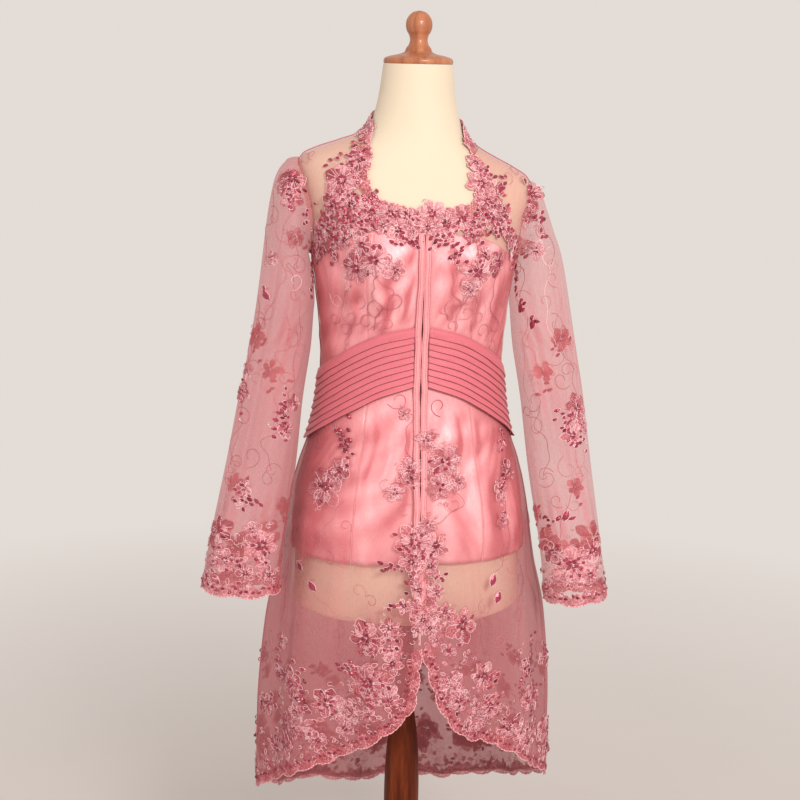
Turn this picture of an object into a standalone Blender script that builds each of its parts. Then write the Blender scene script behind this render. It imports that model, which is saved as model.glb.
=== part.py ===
"""A long-sleeved kebaya blouse of embroidered net over a satin bodice, on a limbless dress form with a turned wood stand.

Metres, +Z up. The form faces -Y, and "left" is the wearer's left, at +X. Depths are measured down from the
underside of the neck cap, and angles run round the form from centre front (0) past the left side (90) to the back.
"""

import math

import bmesh
import bpy
import numpy as np

for leftover in list(bpy.data.objects):
    bpy.data.objects.remove(leftover, do_unlink=True)

# ---------------------------------------------------------------- driving dimensions
CAP_UNDERSIDE = 1.480  # height of the neck cap's underside above the floor
SEAM_GAP = 0.0003  # between pieces that are sewn edge to edge
SHOULDER_SEAM = 0.45  # degrees that a front and the back each stop short of the shoulder line
FRONT_OPENING = 0.0014  # between the two fronts, which are hooked edge to edge
SHOULDER_DROP = 0.070  # the left shoulder sits lower than the right by this share of its width
RIGHT_RISE = 0.042  # how much more steeply the right shoulder rises than the left one falls
NET_WALL = 0.0012
SATIN_WALL = 0.0011
SATIN_LIFT = 0.0019  # inner face of the satin above the form
NET_LIFT = 0.0034  # inner face of the net above the form, where the satin lies under it
YOKE_LIFT = 0.0026  # the same on the shoulders, where the net lies on the form
BELT_LIFT = 0.0054
BELT_WALL = 0.0012
TUCK_RISE = 0.0017  # how far the folded edge of a tuck stands out
TUCKS = 8
PLACKET_WALL = 0.0012
PLACKET_LIFT = NET_LIFT + NET_WALL + SEAM_GAP
PLACKET_WIDTH = 0.0090
SPLIT_TOP = 0.770  # depth at which the front edges stop being hooked together
BASE_RADIUS = 0.170
BASE_HEIGHT = 0.036
FORM_BOTTOM = 0.780

# Horizontal sections of the body, with the room that the satin and the net leave round it.
BODY_COLUMNS = ("depth", "half_width", "front", "back", "satin", "net")
BODY = (
    (0.000, 0.0485, 0.0485, 0.0485, 0.000, 0.0000),
    (0.045, 0.0540, 0.0510, 0.0560, 0.000, 0.0000),
    (0.075, 0.0610, 0.0540, 0.0620, 0.000, 0.0000),
    (0.095, 0.0705, 0.0575, 0.0670, 0.000, 0.0000),
    (0.108, 0.0860, 0.0610, 0.0710, 0.000, 0.0000),
    (0.120, 0.1100, 0.0650, 0.0750, 0.000, 0.0000),
    (0.132, 0.1370, 0.0700, 0.0810, 0.000, 0.0000),
    (0.144, 0.1570, 0.0760, 0.0880, 0.000, 0.0000),
    (0.158, 0.1640, 0.0830, 0.0940, 0.000, 0.0000),
    (0.178, 0.1620, 0.0920, 0.0990, 0.000, 0.0000),
    (0.200, 0.1560, 0.1000, 0.1010, 0.000, 0.0000),
    (0.225, 0.1490, 0.1070, 0.1000, 0.000, 0.0000),
    (0.255, 0.1435, 0.1110, 0.0980, 0.000, 0.0000),
    (0.290, 0.1395, 0.1090, 0.0950, 0.000, 0.0000),
    (0.330, 0.1335, 0.1040, 0.0910, 0.000, 0.0000),
    (0.380, 0.1290, 0.0980, 0.0860, 0.000, 0.0000),
    (0.410, 0.1275, 0.0970, 0.0850, 0.000, 0.0000),
    (0.463, 0.1315, 0.1020, 0.0910, 0.000, 0.0000),
    (0.500, 0.1370, 0.1070, 0.0980, 0.000, 0.0005),
    (0.535, 0.1445, 0.1120, 0.1060, 0.001, 0.0025),
    (0.570, 0.1540, 0.1170, 0.1140, 0.001, 0.0050),
    (0.600, 0.1600, 0.1200, 0.1190, 0.002, 0.0070),
    (0.650, 0.1650, 0.1230, 0.1240, 0.004, 0.0110),
    (0.715, 0.1670, 0.1240, 0.1260, 0.005, 0.0170),
    (0.790, 0.1680, 0.1240, 0.1280, 0.006, 0.0300),
    (0.880, 0.1690, 0.1250, 0.1350, 0.006, 0.0380),
    (0.960, 0.1700, 0.1250, 0.1400, 0.006, 0.0420),
    (1.060, 0.1710, 0.1250, 0.1450, 0.006, 0.0440),
    (1.200, 0.1720, 0.1250, 0.1500, 0.006, 0.0440),
)
BUST = {"x": 0.076, "depth": 0.262, "rise": 0.024, "wide": 0.050, "tall": 0.058}

# Lines round the garment: depth at an angle from centre front.
BELT_TOP = ((0, 0.350), (20, 0.361), (40, 0.381), (60, 0.404), (90, 0.430), (130, 0.438), (180, 0.440))
BELT_BOTTOM = ((0, 0.436), (20, 0.452), (40, 0.476), (60, 0.502), (90, 0.535), (130, 0.546), (180, 0.548))
SATIN_HEM = ((0, 0.684), (50, 0.690), (90, 0.692), (180, 0.694))
HEM_LEFT = (
    (0, 0.776), (2, 0.792), (4.3, 0.813), (6.7, 0.840), (8.5, 0.878), (12, 0.903), (19, 0.931), (28, 0.948),
    (36, 0.958), (45, 0.981), (56, 1.010), (67, 1.031), (90, 1.074), (120, 1.125), (150, 1.162), (180, 1.176),
)  # fmt: skip
HEM_RIGHT = (
    (0, 0.800), (1.3, 0.820), (3, 0.862), (4.5, 0.882), (8, 0.904), (12.5, 0.919), (17.5, 0.933), (25, 0.953),
    (33.5, 0.969), (40, 0.979), (48, 0.994), (57, 1.014), (76, 1.052), (90, 1.074), (120, 1.125), (150, 1.162),
    (180, 1.176),
)  # fmt: skip

# Soft folds of the skirt: angle, how far the cloth moves out at the hem, and its width in degrees.
FOLDS_COLUMNS = ("angle", "out", "width")
FOLDS = (
    (14, 0.007, 8), (30, -0.006, 9), (46, 0.009, 9), (66, -0.007, 9), (86, 0.005, 10), (108, -0.008, 10),
    (130, 0.010, 11), (152, -0.009, 10), (174, 0.010, 11), (197, -0.009, 10), (220, 0.010, 12), (246, -0.008, 10),
    (270, 0.005, 10), (292, -0.006, 9), (312, 0.009, 9), (329, -0.005, 8), (346, 0.007, 8),
)  # fmt: skip

# Rows of a front above the belt: where each meets the neckline and the armhole.
YOKE_COLUMNS = ("inner_angle", "inner_depth", "outer_angle", "outer_depth")
YOKE = (
    (0.0, 0.290, 90.0, 0.290),
    (0.0, 0.262, 90.0, 0.268),
    (0.0, 0.240, 81.0, 0.253),
    (0.0, 0.219, 74.0, 0.232),
    (0.0, 0.199, 70.0, 0.209),
    (13.0, 0.192, 70.0, 0.190),
    (25.0, 0.183, 72.0, 0.174),
    (28.0, 0.158, 75.5, 0.164),
    (31.0, 0.133, 79.0, 0.158),
    (44.0, 0.118, 82.0, 0.1545),
    (60.0, 0.112, 85.0, 0.152),
    (75.0, 0.109, 87.5, 0.1508),
    (90.0, 0.1075, 90.0, 0.150),
)
ARMHOLE_FIRST_ROW = 1
SATIN_FRONT_LAST_ROW = 3
SATIN_SIDE_LAST_ROW = 2
BACK_NECK_DEPTH = 0.098

# The standing collar: its height at an angle, and how far its ends slope back at the top.
COLLAR_HEIGHT = ((44, 0.039), (75, 0.037), (110, 0.035), (180, 0.034))
COLLAR_SLOPE = 26
COLLAR_ROWS = 3
COLLAR_FIRST_ROW = 9

# A sleeve: where its inner and outer edges hang, the middle and half of its thickness front to back, and
# how much closer in the left sleeve's outer edge hangs than the right one's.
SLEEVE_COLUMNS = ("inner_x", "inner_depth", "outer_x", "outer_depth", "middle_y", "half_y", "left_in")
SLEEVE = (
    (0.1600, 0.266, 0.1850, 0.150, 0.003, 0.054, 0.006),
    (0.1570, 0.295, 0.1970, 0.180, 0.001, 0.058, 0.010),
    (0.1470, 0.325, 0.2060, 0.215, -0.002, 0.058, 0.008),
    (0.1450, 0.355, 0.2140, 0.265, -0.006, 0.057, 0.001),
    (0.1470, 0.390, 0.2220, 0.325, -0.012, 0.054, -0.001),
    (0.1525, 0.425, 0.2305, 0.380, -0.019, 0.052, -0.001),
    (0.1590, 0.465, 0.2405, 0.430, -0.027, 0.050, 0.000),
    (0.1635, 0.505, 0.2510, 0.480, -0.036, 0.048, 0.003),
    (0.1685, 0.550, 0.2625, 0.535, -0.047, 0.046, 0.006),
    (0.1750, 0.595, 0.2740, 0.585, -0.058, 0.044, 0.010),
    (0.1830, 0.640, 0.2850, 0.635, -0.068, 0.043, 0.014),
    (0.1895, 0.685, 0.2945, 0.680, -0.077, 0.042, 0.017),
    (0.1930, 0.728, 0.3020, 0.722, -0.085, 0.042, 0.019),
)
SLEEVE_RINGS = 19
LEFT_CUFF_LOWER = 0.023

# Turned profiles: radius and height above the floor, from the top down.
CAP_PROFILE = (
    (0.0000, 1.5520), (0.0080, 1.5500), (0.0145, 1.5445), (0.0180, 1.5370), (0.0184, 1.5320), (0.0170, 1.5250),
    (0.0135, 1.5185), (0.0122, 1.5130), (0.0135, 1.5070), (0.0175, 1.5010), (0.0190, 1.4970), (0.0250, 1.4940),
    (0.0400, 1.4905), (0.0475, 1.4870), (0.0484, 1.4840), (0.0478, 1.4803), (0.0000, 1.4803),
)  # fmt: skip
POST_PROFILE = (
    (0.0000, 0.6996), (0.0240, 0.6996), (0.0240, 0.6700), (0.0200, 0.6600), (0.0200, 0.6350), (0.0140, 0.6200),
    (0.0130, 0.5700), (0.0165, 0.5200), (0.0225, 0.4750), (0.0255, 0.4300), (0.0268, 0.3800), (0.0262, 0.2600),
    (0.0235, 0.1500), (0.0205, 0.1000), (0.0290, 0.0850), (0.0340, 0.0700), (0.0340, 0.0550), (0.0400, 0.0400),
    (0.0400, 0.0363), (0.0000, 0.0363),
)  # fmt: skip
BASE_PROFILE = (
    (0.0000, 0.0360), (0.0700, 0.0360), (0.1500, 0.0270), (0.1640, 0.0230), (0.1690, 0.0170), (0.1700, 0.0110),
    (0.1680, 0.0040), (0.1640, 0.0000), (0.0000, 0.0000),
)  # fmt: skip

FRONT_ANGLES = (0, 4, 10, 17, 25, 33, 41, 49, 57, 65, 73, 81.5, 90)
PLACKET_COLUMNS = 1
PRINCESS_COLUMN = 5
BACK_STEPS = 20
SKIRT_SHARES = (1.0, 0.88, 0.76, 0.64, 0.52, 0.40, 0.28, 0.17, 0.07)
SATIN_SHARES = (1.0, 0.78, 0.55, 0.32, 0.12)
BELT_ROWS = 4
WAIST_ROWS = 2
TURNING_STEPS = {"neck_cap": 20, "post": 20, "base": 32}
FORM_COLUMNS = 36


# ---------------------------------------------------------------- curves and the body's surface
def smooth(places, values, at):
    """A smooth curve through the values that never overshoots them."""
    places = np.asarray(places, float)
    values = np.asarray(values, float)
    steps = np.diff(places)
    slopes = np.diff(values) / steps
    tangents = np.zeros(len(places))
    tangents[0] = slopes[0]
    tangents[-1] = slopes[-1]
    for i in range(1, len(places) - 1):
        if slopes[i - 1] * slopes[i] > 0:
            before = 2 * steps[i] + steps[i - 1]
            after = steps[i] + 2 * steps[i - 1]
            tangents[i] = (before + after) / (before / slopes[i - 1] + after / slopes[i])
    at = min(max(at, places[0]), places[-1])
    i = min(int(np.searchsorted(places, at, side="right")) - 1, len(steps) - 1)
    share = (at - places[i]) / steps[i]
    rest = 1 - share
    return (
        values[i] * (1 + 2 * share) * rest * rest
        + values[i + 1] * share * share * (3 - 2 * share)
        + steps[i] * (tangents[i] * share * rest * rest - tangents[i + 1] * share * share * rest)
    )


BODY_TABLE = dict(zip(BODY_COLUMNS, zip(*BODY)))


def body(column, depth):
    return smooth(BODY_TABLE["depth"], BODY_TABLE[column], depth)


def line_at(line, angle):
    """Depth of a line round the garment; the hem has a line for each side, and the others are alike."""
    turned = (angle + 180) % 360 - 180
    if line == "hem":
        line = HEM_LEFT if turned > 0 else HEM_RIGHT
    angles, depths = zip(*line)
    return smooth(angles, depths, abs(turned))


def fold_out(angle, depth):
    """How far the skirt's folds move the cloth out, from none at the belt to all at the hem."""
    top = line_at(BELT_BOTTOM, angle)
    share = min(max((depth - top - 0.04) / 0.45, 0), 1)
    out = 0
    for middle, most, width in FOLDS:
        away = ((angle - middle + 180) % 360 - 180) / width
        out += most * math.exp(-away * away)
    return out * share * share * (3 - 2 * share)


def level_drop(x, depth):
    """How far the slanting shoulders lower a point: not at all at the cap and below the bust."""
    rising = min(max(depth / 0.06, 0), 1)
    falling = min(max((0.330 - depth) / 0.150, 0), 1)
    on_right = min(max(-x / 0.05 - 1, 0), 1)
    return (SHOULDER_DROP + RIGHT_RISE * on_right) * x * rising * falling * falling * (3 - 2 * falling)


def skin(angle, depth, layer):
    """A point of the form, or of the surface on which the satin or the net hangs."""
    room = body(layer, depth) if layer in BODY_TABLE else 0
    if layer == "net":
        room += fold_out(angle, depth)
    turn = math.radians(angle)
    reach = body("front" if math.cos(turn) > 0 else "back", depth) + room
    x = (body("half_width", depth) + room) * math.sin(turn)
    y = -reach * math.cos(turn)
    if math.cos(turn) > 0:
        across = (abs(x) - BUST["x"]) / BUST["wide"]
        down = (depth - BUST["depth"]) / BUST["tall"]
        y -= BUST["rise"] * math.exp(-across * across - down * down) * math.cos(turn) ** 0.5
    return np.array((x, y, CAP_UNDERSIDE - depth - level_drop(x, depth)))


def lifted(angle, depth, layer, lift):
    """A point at a distance from the surface, along its normal."""
    round_step = 0.4
    down_step = 0.002
    around = skin(angle + round_step, depth, layer) - skin(angle - round_step, depth, layer)
    along = skin(angle, depth - down_step, layer) - skin(angle, depth + down_step, layer)
    normal = np.cross(around, along)
    return skin(angle, depth, layer) + normal / np.linalg.norm(normal) * lift


# ---------------------------------------------------------------- grids of cloth
def mix(a, b, share):
    return a + (b - a) * share


def lower_rows(angles, hem, shares):
    """Rows of (angle, depth) from a hem up to the belt and on to the bust."""
    rows = [[(a, mix(line_at(BELT_BOTTOM, a), line_at(hem, a), s)) for a in angles] for s in shares]
    for k in range(BELT_ROWS, -1, -1):
        rows.append([(a, mix(line_at(BELT_TOP, a), line_at(BELT_BOTTOM, a), k / BELT_ROWS)) for a in angles])
    bust_depth = YOKE[0][1]
    for k in range(1, WAIST_ROWS):
        rows.append([(a, mix(line_at(BELT_TOP, a), bust_depth, k / WAIST_ROWS)) for a in angles])
    return rows


def placket_edge(row):
    """The row with the placket's outer edge at the same width all the way down."""
    first, second = row[0], row[1]
    side = 1 if row[-1][0] > 0 else -1
    half_width = body("half_width", second[1]) + body("net", second[1])
    angle = side * math.degrees(math.asin(PLACKET_WIDTH / half_width))
    return [first, (angle, second[1])] + row[2:]


def front_lower_rows(side, hem, shares):
    return [placket_edge(row) for row in lower_rows([side * a for a in FRONT_ANGLES], hem, shares)]


def front_yoke_rows():
    rows = []
    last = FRONT_ANGLES[-1]
    for inner_angle, inner_depth, outer_angle, outer_depth in YOKE:
        shares = [a / last for a in FRONT_ANGLES]
        row = [(mix(inner_angle, outer_angle, s), mix(inner_depth, outer_depth, s)) for s in shares]
        rows.append(row if inner_angle else placket_edge(row))
    rows[-1] = [(a - SHOULDER_SEAM, d) for a, d in rows[-1]]
    return rows


def back_angles():
    return [90 + 180 * i / BACK_STEPS for i in range(BACK_STEPS + 1)]


def back_yoke_rows():
    """Rows of the back from the bust level to the shoulder seams and the neck between them."""
    rows = []
    neck_share = 0.3
    top_angle, top_depth = YOKE[-1][0], YOKE[-1][1]
    for i, (_, inner_depth, outer_angle, outer_depth) in enumerate(YOKE):
        rise = max(i - ARMHOLE_FIRST_ROW, 0) / (len(YOKE) - 1 - ARMHOLE_FIRST_ROW)
        start_angle = 180 - outer_angle
        neck_angle = mix(start_angle + (180 - start_angle) * 2 * neck_share, top_angle, rise)
        neck_depth = mix(outer_depth, top_depth, rise**1.15)
        back_depth = mix(outer_depth, BACK_NECK_DEPTH, rise**1.15) if i else YOKE[0][3]
        half = []
        for j in range(BACK_STEPS // 2 + 1):
            share = j / BACK_STEPS
            if share <= neck_share:
                s = share / neck_share
                half.append((mix(start_angle, neck_angle, s), mix(outer_depth, neck_depth, s)))
            else:
                s = (share - neck_share) / (0.5 - neck_share)
                half.append((mix(neck_angle, 180, s), mix(neck_depth, back_depth, s)))
        if i == len(YOKE) - 1:
            half = [(max(a, top_angle + SHOULDER_SEAM), d) for a, d in half]
        rows.append(half + [(360 - a, d) for a, d in half[-2::-1]])
    return rows


def net_lift(row, first_yoke_row):
    """The net comes down to the form above the satin."""
    above = row - first_yoke_row - SATIN_FRONT_LAST_ROW
    return mix(NET_LIFT, YOKE_LIFT, min(max(above / 3, 0), 1))


def inset(rows, left, right):
    """Draw the rows in at their ends, by distances on the cloth."""
    drawn = []
    for row in rows:
        width = body("half_width", row[0][1])
        first = row[0][0] + math.degrees(left / max(width * abs(math.cos(math.radians(row[0][0]))), 0.06))
        last = row[-1][0] - math.degrees(right / 0.07)
        drawn.append([(first, row[0][1])] + list(row[1:-1]) + [(last, row[-1][1])])
    return drawn


def mirrored(grid):
    """The same piece on the other side of the form: angles turned about centre front."""
    return [[(-a, d) for a, d in reversed(row)] for row in grid]


def points_of(rows, layer, lifts):
    return [[lifted(a, d, layer, lift) for a, d in row] for row, lift in zip(rows, lifts)]


# ---------------------------------------------------------------- meshes, materials and collections
def collection(name):
    made = bpy.data.collections.new(name)
    bpy.context.scene.collection.children.link(made)
    return made


KEBAYA = collection("kebaya_on_form")


def material(name, colour, roughness, metallic=0.0):
    made = bpy.data.materials.new(name)
    made.use_nodes = True
    shader = made.node_tree.nodes["Principled BSDF"]
    shader.inputs["Base Color"].default_value = (*colour, 1)
    shader.inputs["Roughness"].default_value = roughness
    shader.inputs["Metallic"].default_value = metallic
    return made


def add_object(name, mesh_data, made_of, flat_above=40):
    mesh = bpy.data.meshes.new(name)
    mesh_data.to_mesh(mesh)
    mesh_data.free()
    mesh.materials.append(made_of)
    mesh.shade_smooth()
    mesh.set_sharp_from_angle(angle=math.radians(flat_above))
    made = bpy.data.objects.new(name, mesh)
    KEBAYA.objects.link(made)
    return made


def zipped(data, first, second, first_places, second_places):
    """Triangles between two lines of vertices, taken in the order of their places."""
    i = j = 0
    while i < len(first) - 1 or j < len(second) - 1:
        take_first = j == len(second) - 1 or (
            i < len(first) - 1 and first_places[i + 1] <= second_places[j + 1]
        )
        if take_first:
            data.faces.new((first[i], first[i + 1], second[j]))
            i += 1
        else:
            data.faces.new((first[i], second[j + 1], second[j]))
            j += 1


def cloth(name, inner, outer, made_of, tube=False):
    """A wall between two grids of points, which may have different numbers of rows."""
    data = bmesh.new()
    inside = [[data.verts.new(p) for p in row] for row in inner]
    outside = [[data.verts.new(p) for p in row] for row in outer]
    columns = len(inside[0])
    spans = [(j, (j + 1) % columns) for j in range(columns if tube else columns - 1)]
    for grid in (inside, outside):
        for low, high in zip(grid, grid[1:]):
            for j, k in spans:
                data.faces.new((low[j], low[k], high[k], high[j]))
    for a, b in ((inside[0], outside[0]), (inside[-1], outside[-1])):
        for j, k in spans:
            data.faces.new((a[j], a[k], b[k], b[j]))
    if not tube:
        for j in (0, columns - 1):
            a = [row[j] for row in inside]
            b = [row[j] for row in outside]
            zipped(data, a, b, np.linspace(0, 1, len(a)), np.linspace(0, 1, len(b)))
    bmesh.ops.recalc_face_normals(data, faces=data.faces)
    return add_object(name, data, made_of)


def turned(name, profile, made_of):
    """A turned piece: its profile swept round the upright axis."""
    mesh = bpy.data.meshes.new(name)
    edges = [(i, i + 1) for i in range(len(profile) - 1)]
    mesh.from_pydata([(r, 0, z) for r, z in profile], edges, [])
    mesh.materials.append(made_of)
    made = bpy.data.objects.new(name, mesh)
    KEBAYA.objects.link(made)
    screw = made.modifiers.new("turning", "SCREW")
    screw.steps = TURNING_STEPS[name]
    screw.render_steps = TURNING_STEPS[name]
    screw.use_merge_vertices = True
    screw.merge_threshold = 0.0001
    screw.use_smooth_shade = True
    return made


# ---------------------------------------------------------------- materials
def net_pink():
    return material("net_pink", (0.62, 0.24, 0.26), 0.7)


def satin_pink():
    return material("satin_pink", (0.68, 0.23, 0.27), 0.35)


def belt_coral():
    return material("belt_coral", (0.60, 0.13, 0.15), 0.45)


def form_cream():
    return material("form_cream", (0.80, 0.70, 0.52), 0.6)


def wood_brown():
    return material("wood_brown", (0.26, 0.07, 0.02), 0.3)


# ---------------------------------------------------------------- the blouse's pieces
def front_rows(side):
    """Rows of the front on a side (1 the left, -1 the right), as if it were on the left."""
    lower = front_lower_rows(side, "hem", SKIRT_SHARES)
    return [[(side * a, d) for a, d in row] for row in lower] + front_yoke_rows()


def back_rows():
    return lower_rows(back_angles(), "hem", SKIRT_SHARES) + back_yoke_rows()


def net_piece(name, rows, made_of):
    first_yoke_row = len(rows) - len(YOKE)
    lifts = [net_lift(i, first_yoke_row) for i in range(len(rows))]
    inner = points_of(rows, "net", lifts)
    outer = points_of(rows, "net", [lift + NET_WALL for lift in lifts])
    return cloth(name, inner, outer, made_of)


def fronts(made_of):
    net_piece("front_left", inset(front_rows(1), FRONT_OPENING / 2, SEAM_GAP), made_of)
    net_piece("front_right", mirrored(inset(front_rows(-1), FRONT_OPENING / 2, SEAM_GAP)), made_of)


def back(made_of):
    net_piece("back", inset(back_rows(), SEAM_GAP, SEAM_GAP), made_of)


def plackets(made_of):
    """The narrow strips along the opening, from the neckline to the top of the split."""
    neck_depth = YOKE[4][1]
    for name, side in (("placket_left", 1), ("placket_right", -1)):
        rows = [row[: PLACKET_COLUMNS + 1] for row in front_rows(side)]
        kept = [row for row in rows if SPLIT_TOP - 0.08 > row[0][1] > neck_depth - 0.001]
        bottom_row = placket_edge([(a, SPLIT_TOP) for a, _ in rows[0]])
        drawn = inset([bottom_row] + kept, FRONT_OPENING / 2, 0.0)
        drawn = drawn if side > 0 else mirrored(drawn)
        lifts = [PLACKET_LIFT] * len(drawn)
        inner = points_of(drawn, "net", lifts)
        outer = points_of(drawn, "net", [lift + PLACKET_WALL for lift in lifts])
        cloth(name, inner, outer, made_of)


def satin_piece(name, rows, made_of):
    inner = points_of(rows, "satin", [SATIN_LIFT] * len(rows))
    outer = points_of(rows, "satin", [SATIN_LIFT + SATIN_WALL] * len(rows))
    return cloth(name, inner, outer, made_of)


def satin(made_of):
    """The lining: two fronts, two side panels beyond the princess seams, and a back."""
    lower = front_lower_rows(1, SATIN_HEM, SATIN_SHARES)
    upper = front_yoke_rows()
    middle = [row[: PRINCESS_COLUMN + 1] for row in lower + upper[: SATIN_FRONT_LAST_ROW + 1]]
    middle = inset(middle, FRONT_OPENING / 2, SEAM_GAP / 2)
    side = [row[PRINCESS_COLUMN:] for row in lower + upper[: SATIN_SIDE_LAST_ROW + 1]]
    side = inset(side, SEAM_GAP, SEAM_GAP)
    rear = lower_rows(back_angles(), SATIN_HEM, SATIN_SHARES) + back_yoke_rows()[: SATIN_SIDE_LAST_ROW + 1]
    satin_piece("satin_front_left", middle, made_of)
    satin_piece("satin_front_right", mirrored(middle), made_of)
    satin_piece("satin_side_left", side, made_of)
    satin_piece("satin_side_right", mirrored(side), made_of)
    satin_piece("satin_back", inset(rear, SEAM_GAP, SEAM_GAP), made_of)


def belt_lines():
    """Shares down the belt and the height of its face there: a plain band, then tucks pressed down."""
    band = 0.15
    lines = [(0.0, 0.0), (band - 0.006, 0.0)]
    tuck = (1 - band) / TUCKS
    for i in range(TUCKS):
        start = band + tuck * i
        lines.append((start, TUCK_RISE))
        if i < TUCKS - 1:
            lines.append((start + tuck - 0.006, 0.0))
    lines.append((1.0, 0.0))
    return lines


def belt_grid(angles, shares):
    rows = [[(a, mix(line_at(BELT_TOP, a), line_at(BELT_BOTTOM, a), s)) for a in angles] for s in shares]
    return rows if angles[0] else [placket_edge(row)[PLACKET_COLUMNS:] for row in rows]


def belt_piece(name, angles, left, right, made_of, turn=False):
    lines = belt_lines()
    outer_rows = inset(belt_grid(angles, [s for s, _ in lines]), left, right)
    inner_rows = inset(belt_grid(angles, [k / BELT_ROWS for k in range(BELT_ROWS + 1)]), left, right)
    if turn:
        outer_rows = mirrored(outer_rows)
        inner_rows = mirrored(inner_rows)
    inner = points_of(inner_rows, "net", [BELT_LIFT] * len(inner_rows))
    outer = points_of(outer_rows, "net", [BELT_LIFT + BELT_WALL + rise for _, rise in lines])
    cloth(name, inner, outer, made_of)


def belt(made_of):
    belt_piece("belt_left", FRONT_ANGLES, SEAM_GAP, SEAM_GAP, made_of)
    belt_piece("belt_right", FRONT_ANGLES, SEAM_GAP, SEAM_GAP, made_of, turn=True)
    belt_piece("belt_back", back_angles(), SEAM_GAP, SEAM_GAP, made_of)


def armhole_loop(side, lift):
    """The sleeve's first ring: up the front edge of the armhole, and down its back edge."""
    edge = [(a, d) for _, _, a, d in YOKE[ARMHOLE_FIRST_ROW:]]
    gap = math.degrees(3.4 * SEAM_GAP / 0.10)
    front = [(a + gap if i else a, d - (0.0 if i else 2.5 * SEAM_GAP)) for i, (a, d) in enumerate(edge)]
    front[-1] = (90.0, edge[-1][1] + 2.5 * SEAM_GAP)
    loop = front + [(180 - a, d) for a, d in front[-2:0:-1]]
    lifts = [lift + (NET_LIFT if i < 2 or i > len(loop) - 2 else YOKE_LIFT) for i in range(len(loop))]
    return [lifted(side * a, d, "net", rise) for (a, d), rise in zip(loop, lifts)]


def sleeve_ring(side, share, grow):
    """A ring of the hanging sleeve, its points matched to the armhole's."""
    count = 2 * (len(YOKE) - 1 - ARMHOLE_FIRST_ROW)
    places = range(len(SLEEVE))
    place = share * (len(SLEEVE) - 1)
    inner_x, inner_depth, outer_x, outer_depth, middle_y, half_y, left_in = (
        smooth(places, column, place) for column in zip(*SLEEVE)
    )
    if side > 0:
        outer_x -= left_in
        inner_depth += LEFT_CUFF_LOWER * share * share
        outer_depth += LEFT_CUFF_LOWER * share * share
    ring = []
    for k in range(count):
        turn = 2 * math.pi * k / count
        out = 0.5 - 0.5 * math.cos(turn)
        x = mix(inner_x - grow, outer_x + grow, out)
        depth = mix(inner_depth, outer_depth, out)
        y = middle_y - (half_y + grow) * math.sin(turn)
        ring.append(np.array((side * x, y, CAP_UNDERSIDE - depth - level_drop(side * x, depth))))
    return ring


def sleeve(name, side, made_of):
    grids = []
    for grow in (0.0, NET_WALL):
        head = armhole_loop(side, grow)
        rows = [head]
        for i in range(1, SLEEVE_RINGS + 1):
            share = ((i - 1) / (SLEEVE_RINGS - 1)) ** 1.15
            rows.append(sleeve_ring(side, share, grow))
        grids.append(rows)
    cloth(name, grids[0], grids[1], made_of, tube=True)


def neckline():
    """The edge that the collar stands on: up a front's neckline and round to the middle of the back."""
    front = [(a, d) for a, d, _, _ in YOKE[COLLAR_FIRST_ROW:]]
    top = back_yoke_rows()[-1]
    neck = [(a, d) for a, d in top if 91 < a <= 180]
    return front + neck


def collar(made_of):
    base = neckline()
    start = base[0][0]
    rows = []
    for i in range(COLLAR_ROWS + 1):
        share = i / COLLAR_ROWS
        half = []
        for angle, depth in base:
            slope = COLLAR_SLOPE * share * (180 - angle) / (180 - start)
            half.append((angle + slope, depth - 2.5 * SEAM_GAP - share * line_at(COLLAR_HEIGHT, angle)))
        rows.append(half + [(360 - a, d) for a, d in half[-2::-1]])
    lifts = [YOKE_LIFT] * len(rows)
    inner = points_of(rows, "net", lifts)
    outer = points_of(rows, "net", [lift + NET_WALL for lift in lifts])
    cloth("collar", inner, outer, made_of)


# ---------------------------------------------------------------- the form and its stand
def form_body(made_of):
    """The limbless form: closed sections from its flat underside to the top of its neck."""
    depths = [FORM_BOTTOM, FORM_BOTTOM - 0.004, 0.73, 0.65, 0.60, 0.56, 0.52, 0.48, 0.44, 0.40, 0.36, 0.325]
    depths += [0.295, 0.27, 0.245, 0.22, 0.195, 0.172, 0.157, 0.147, 0.138, 0.129, 0.12, 0.108, 0.092, 0.06, 0.0]
    data = bmesh.new()
    rings = []
    for depth in depths:
        draw_in = 0.006 if depth == FORM_BOTTOM else 0.0
        ring = [lifted(360 * j / FORM_COLUMNS, depth, "form", -draw_in) for j in range(FORM_COLUMNS)]
        if depth in (FORM_BOTTOM, 0.0):
            for point in ring:
                point[2] = CAP_UNDERSIDE - depth
        rings.append([data.verts.new(p) for p in ring])
    for low, high in zip(rings, rings[1:]):
        for j in range(FORM_COLUMNS):
            k = (j + 1) % FORM_COLUMNS
            data.faces.new((low[j], low[k], high[k], high[j]))
    data.faces.new(rings[0])
    data.faces.new(rings[-1])
    bmesh.ops.recalc_face_normals(data, faces=data.faces)
    add_object("form_body", data, made_of)


def stand(made_of):
    turned("neck_cap", CAP_PROFILE, made_of)
    turned("post", POST_PROFILE, made_of)
    turned("base", BASE_PROFILE, made_of)


net = net_pink()
fronts(net)
back(net)
sleeve("sleeve_left", 1, net)
sleeve("sleeve_right", -1, net)
collar(net)
coral = belt_coral()
plackets(coral)
belt(coral)
satin(satin_pink())
form_body(form_cream())
stand(wood_brown())
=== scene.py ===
"""Looks of the kebaya blouse on its form: embroidered net over satin, a pin-tucked belt, form and stand."""

import functools
import math

import bpy
import numpy as np
from mathutils import Matrix, Vector
from mathutils.bvhtree import BVHTree


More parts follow.
